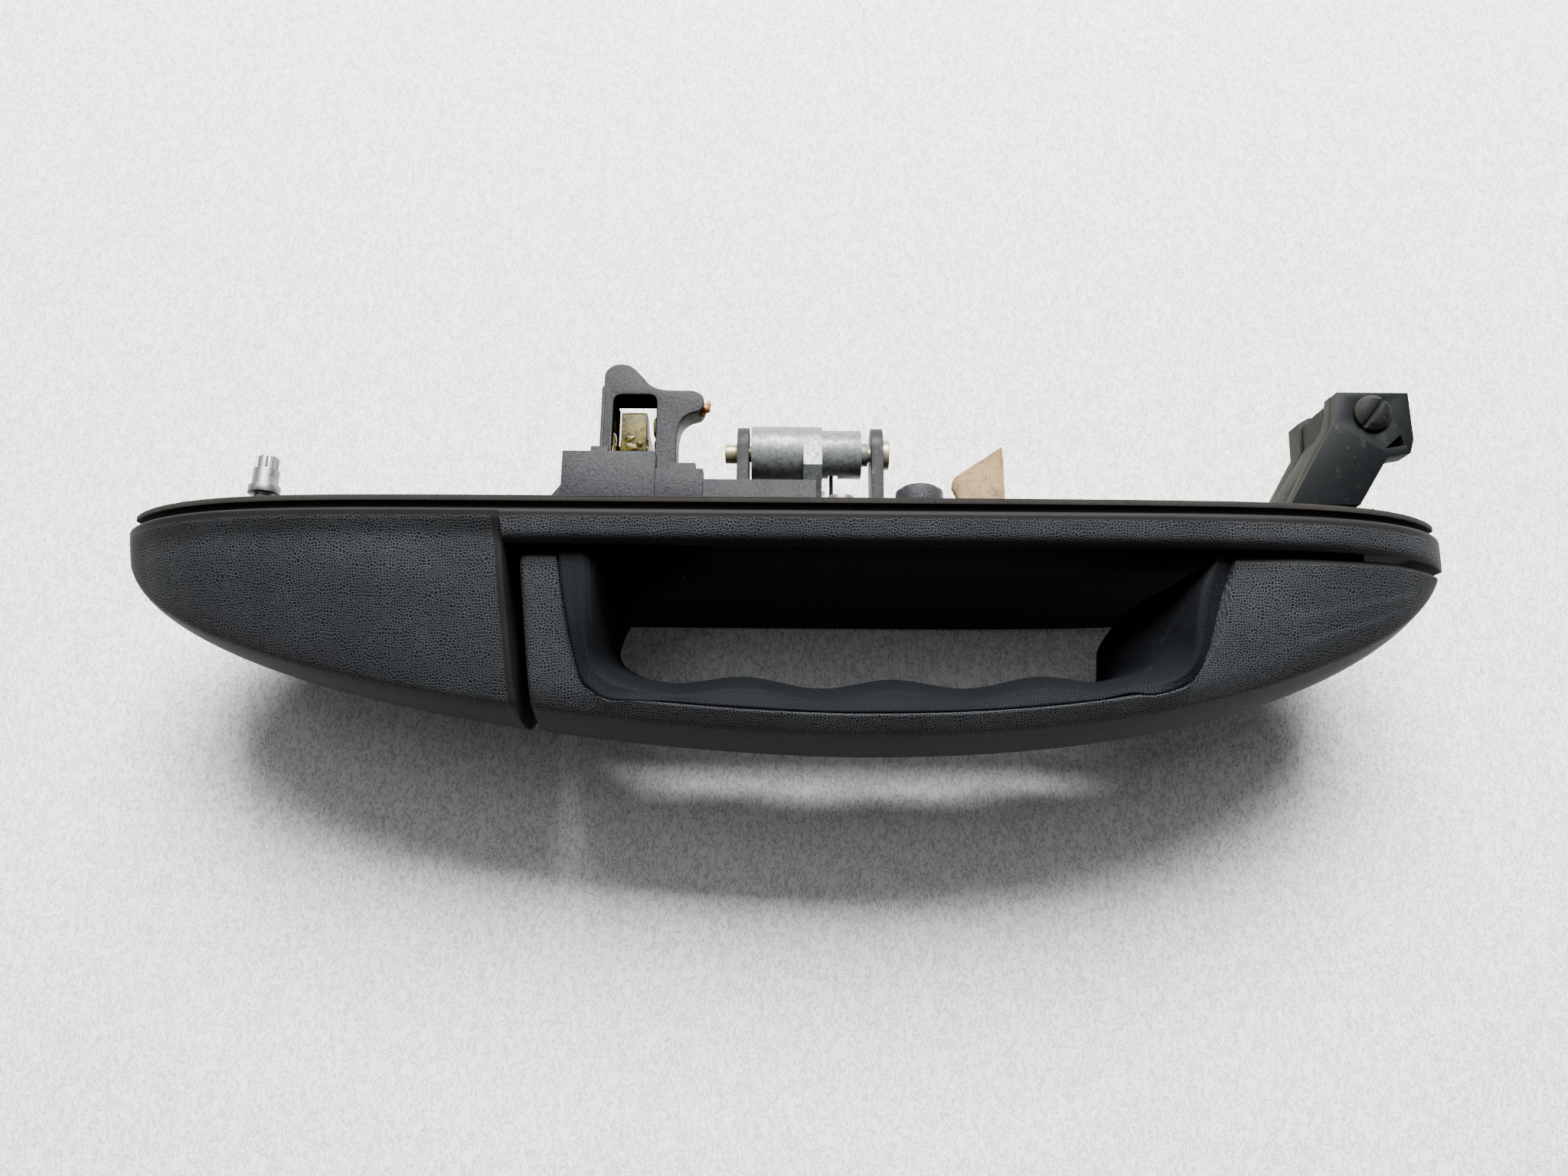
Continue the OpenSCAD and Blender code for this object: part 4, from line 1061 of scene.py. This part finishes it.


# by slot, and three more for dirt and for inner walls painted near black as shade
looks = {
    "grained_plastic": grained_look(), "smooth_plastic": grip_look(), "hinge_plastic": hinge_look(),
    "cast_zinc": zinc_look(), "label_paper": paper_look(), "grease": grease_look(),
    # grey-black nylon with a greasy, speckled skin
    "mechanism_plastic": speckled_look(
        "mechanism_plastic", (160, 5, 0.65), (0.007, 0.008, 0.010), (0.019, 0.020, 0.025),
        [((1900, 5, 0.8), 0.50, 0.57, 0.9, (0.002, 0.002, 0.003)),
         ((1500, 3, 0.7, 0.4), 0.67, 0.74, 0.6, (0.15, 0.16, 0.19))],
        (0.34, 0.48), (1500, 6, 0.8), 0.75, 0.00022, Specular_IOR_Level=0.24),
    # black nylon under smears of old grease, painted near black and without shine as shade
    "inside": speckled_look(
        "greasy_nylon_shade_black", (300, 4), (0.001, 0.001, 0.001), (0.004, 0.004, 0.004),
        [((420, 5, 0.7, 0.5), 0.56, 0.68, 0.7, (0.055, 0.042, 0.008))],
        0.8, (900, 4, 0.65), 0.4, 0.00012, Specular_IOR_Level=0.0),
    # black paint, rubbed to grey
    "black_steel": speckled_look(
        "black_steel", (300, 5, 0.7), (0.005, 0.0055, 0.0065), (0.020, 0.022, 0.025),
        [((850, 5, 0.8), 0.57, 0.68, 0.6, (0.12, 0.125, 0.13))],
        (0.60, 0.46), (900, 4, 0.7), 0.3, 0.0001, Specular_IOR_Level=0.15),
    # foam with open pores
    "gasket_foam": speckled_look(
        "gasket_foam", (70, 5, 0.7), (0.0080, 0.0074, 0.0070), (0.0240, 0.0220, 0.0200),
        [((2200, 3, 0.7), 0.56, 0.64, 0.6, (0.003, 0.003, 0.003))],
        0.88, (1800, 4, 0.7), 0.5, 0.0001, Specular_IOR_Level=0.15),
    "bumper_rubber": speckled_look(
        "bumper_rubber", (400, 4), (0.005, 0.005, 0.005), (0.014, 0.0137, 0.0133), [],
        0.8, (1400, 3), 0.3, 0.00008, Specular_IOR_Level=0.2),
    # off-white nylon with grease marks
    "bush_plastic": speckled_look(
        "bush_plastic", (300, 4), (0.26, 0.245, 0.20), (0.36, 0.35, 0.30),
        [((420, 4, 0.7), 0.55, 0.68, 0.6, (0.16, 0.12, 0.06))], 0.42, (900, 3), 0.2, 0.00008),
    # dry amber grease
    "amber": speckled_look(
        "amber_grease", (1200, 4, 0.7), (0.16, 0.055, 0.008), (0.50, 0.22, 0.04), [],
        0.45, (1800, 4, 0.7), 0.5, 0.0002),
}
# plated steel and brass, with stains
for name, low, high, stain, amount in (
        ("zinc_steel", (0.09, 0.09, 0.093), (0.22, 0.22, 0.22), (0.050, 0.027, 0.016), 0.6),
        ("pin_brass", (0.20, 0.175, 0.095), (0.36, 0.33, 0.21), (0.05, 0.038, 0.015), 0.55)):
    looks[name] = speckled_look(
        name, (500, 4, 0.65), low, high, [((260, 5, 0.75), 0.50, 0.66, amount, stain)],
        (0.50, 0.32), (900, 4, 0.6), 0.2, 0.00008, Metallic=0.7)

look_camera()
studio()
bezel()
shell()
grip()
free_end_sweep()
hook_leg()
label()

# pieces that keep the shape of their CAD node, with rounded edges
DRESSED = [
    # node, new name, body, slot, rounding in millimetres
    ("door_gasket", "gasket_seal", "base", "gasket_foam", 0.35),
    ("hook_screws", "hook_screw_pair", "handle", "zinc_steel", 0.12),
    ("pivot_arm", "pivot_arm_skin", "handle", "hinge_plastic", 0.3),
    ("arm_screws", "arm_screw_pair", "handle", "zinc_steel", 0.12),
    ("pivot_bush", "pivot_bush_skin", "handle", "bush_plastic", 0.1),
    ("pivot_bracket", "pivot_bracket_skin", "base", "hinge_plastic", 0.18),
    ("pivot_pin", "pivot_pin_skin", "base", "hinge_plastic", 0.15),
    ("bracket_screws", "bracket_screw_pair", "base", "zinc_steel", 0.12),
    ("guide_carrier", "guide_carrier_skin", "base", "mechanism_plastic", 0.45),
    ("carrier_screws", "carrier_screw_set", "base", "zinc_steel", 0.12),
    ("crank_bracket", "crank_bracket_skin", "base", "black_steel", 0.2),
    ("bracket_rivets", "bracket_rivet_pair", "base", "zinc_steel", 0.15),
    ("crank_pin", "crank_pin_skin", "base", "pin_brass", 0.45),
    ("bell_crank", "bell_crank_skin", "crank", "cast_zinc", 0.25),
    ("counterweight", "counterweight_skin", "crank", "cast_zinc", 0.45),
    ("rod_clip", "rod_clip_skin", "crank", "bush_plastic", 0.12),
    ("mounting_stud", "mounting_stud_skin", "base", "zinc_steel", 0.18),
    ("stud_insert", "stud_insert_skin", "base", "pin_brass", 0.12),
    ("fixing_boss", "fixing_boss_skin", "base", "mechanism_plastic", 0.3),
    ("free_end_bumper", "free_end_bumper_skin", "base", "bumper_rubber", 0.3),
    ("hinge_end_bumper", "hinge_end_bumper_skin", "base", "bumper_rubber", 0.3),
]
for node, name, body, slot, width in DRESSED:
    finish_piece(dressed(node, name, width), body, slot, [node])

# grease: name, body, look, seed, lumps of (x, y, z, rx, ry, rz)
GREASE = [
    ("finger_grease", "crank", "grease", 3,
     [(-27.3, 12.3, 8.0, 2.5, 1.3, 1.6), (-29.2, 12.9, 7.2, 0.8, 1.7, 1.7),
      (-25.3, 13.4, 7.4, 0.6, 1.6, 1.7), (-27.9, 13.9, 8.9, 1.3, 0.9, 0.8),
      (-26.1, 12.9, 8.9, 0.8, 0.7, 0.9), (-27.2, 18.2, 8.8, 2.1, 0.6, 0.6)]),
    ("nose_grease", "handle", "amber", 5,
     [(-14.7, 20.9, 6.2, 0.9, 0.8, 1.2), (-14.1, 21.6, 6.8, 0.5, 0.7, 0.6),
      (-15.2, 20.1, 5.4, 0.6, 0.5, 0.9)]),
    ("window_grease", "handle", "grease", 7,
     [(-31.2, 11.5, 6.6, 0.7, 2.2, 1.2), (-31.4, 14.6, 5.6, 0.6, 1.9, 1.3),
      (-23.7, 17.5, 5.6, 0.5, 2.2, 1.2), (-23.6, 14.0, 5.2, 0.35, 1.6, 0.9)]),
]
for name, body, look, seed, lumps in GREASE:
    blob(name, body, look, lumps, seed)


def spring():
    """Torsion spring: a straight leg, then four and a quarter turns of round wire."""
    coil_x, pitch, coil_r, axis_y, axis_z = 9.3, 1.1, 3.2, 19.3, -13.0
    wire_r, leg_start, steps = 0.42, 3.3, 40     # steps in one turn
    path = [(coil_x, y, axis_z - coil_r) for y in np.linspace(leg_start, axis_y - 1, 12)]
    for i in range(steps * 17 // 4 + 1):
        a = math.radians(270 + 360 / steps * i)
        path.append((coil_x + pitch * i / steps, axis_y + coil_r * math.cos(a),
                     axis_z + coil_r * math.sin(a)))
    obj = tube("spring_wire", path, wire_r, 14)
    return finish_piece(obj, "base", "zinc_steel", ["return_spring"], 60)


spring()


def floor():
    """Wide pale floor under the base's lowest point."""
    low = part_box("base_bezel")[0].z
    size = 3.0      # metres to each side
    mesh = bpy.data.meshes.new("floor")
    corners = [(-size, -size, low), (size, -size, low), (size, size, low), (-size, size, low)]
    mesh.from_pydata(corners, [], [(0, 1, 2, 3)])
    obj = bpy.data.objects.new("floor", mesh)
    bpy.context.collection.objects.link(obj)
    obj.data.materials.append(floor_look())


floor()
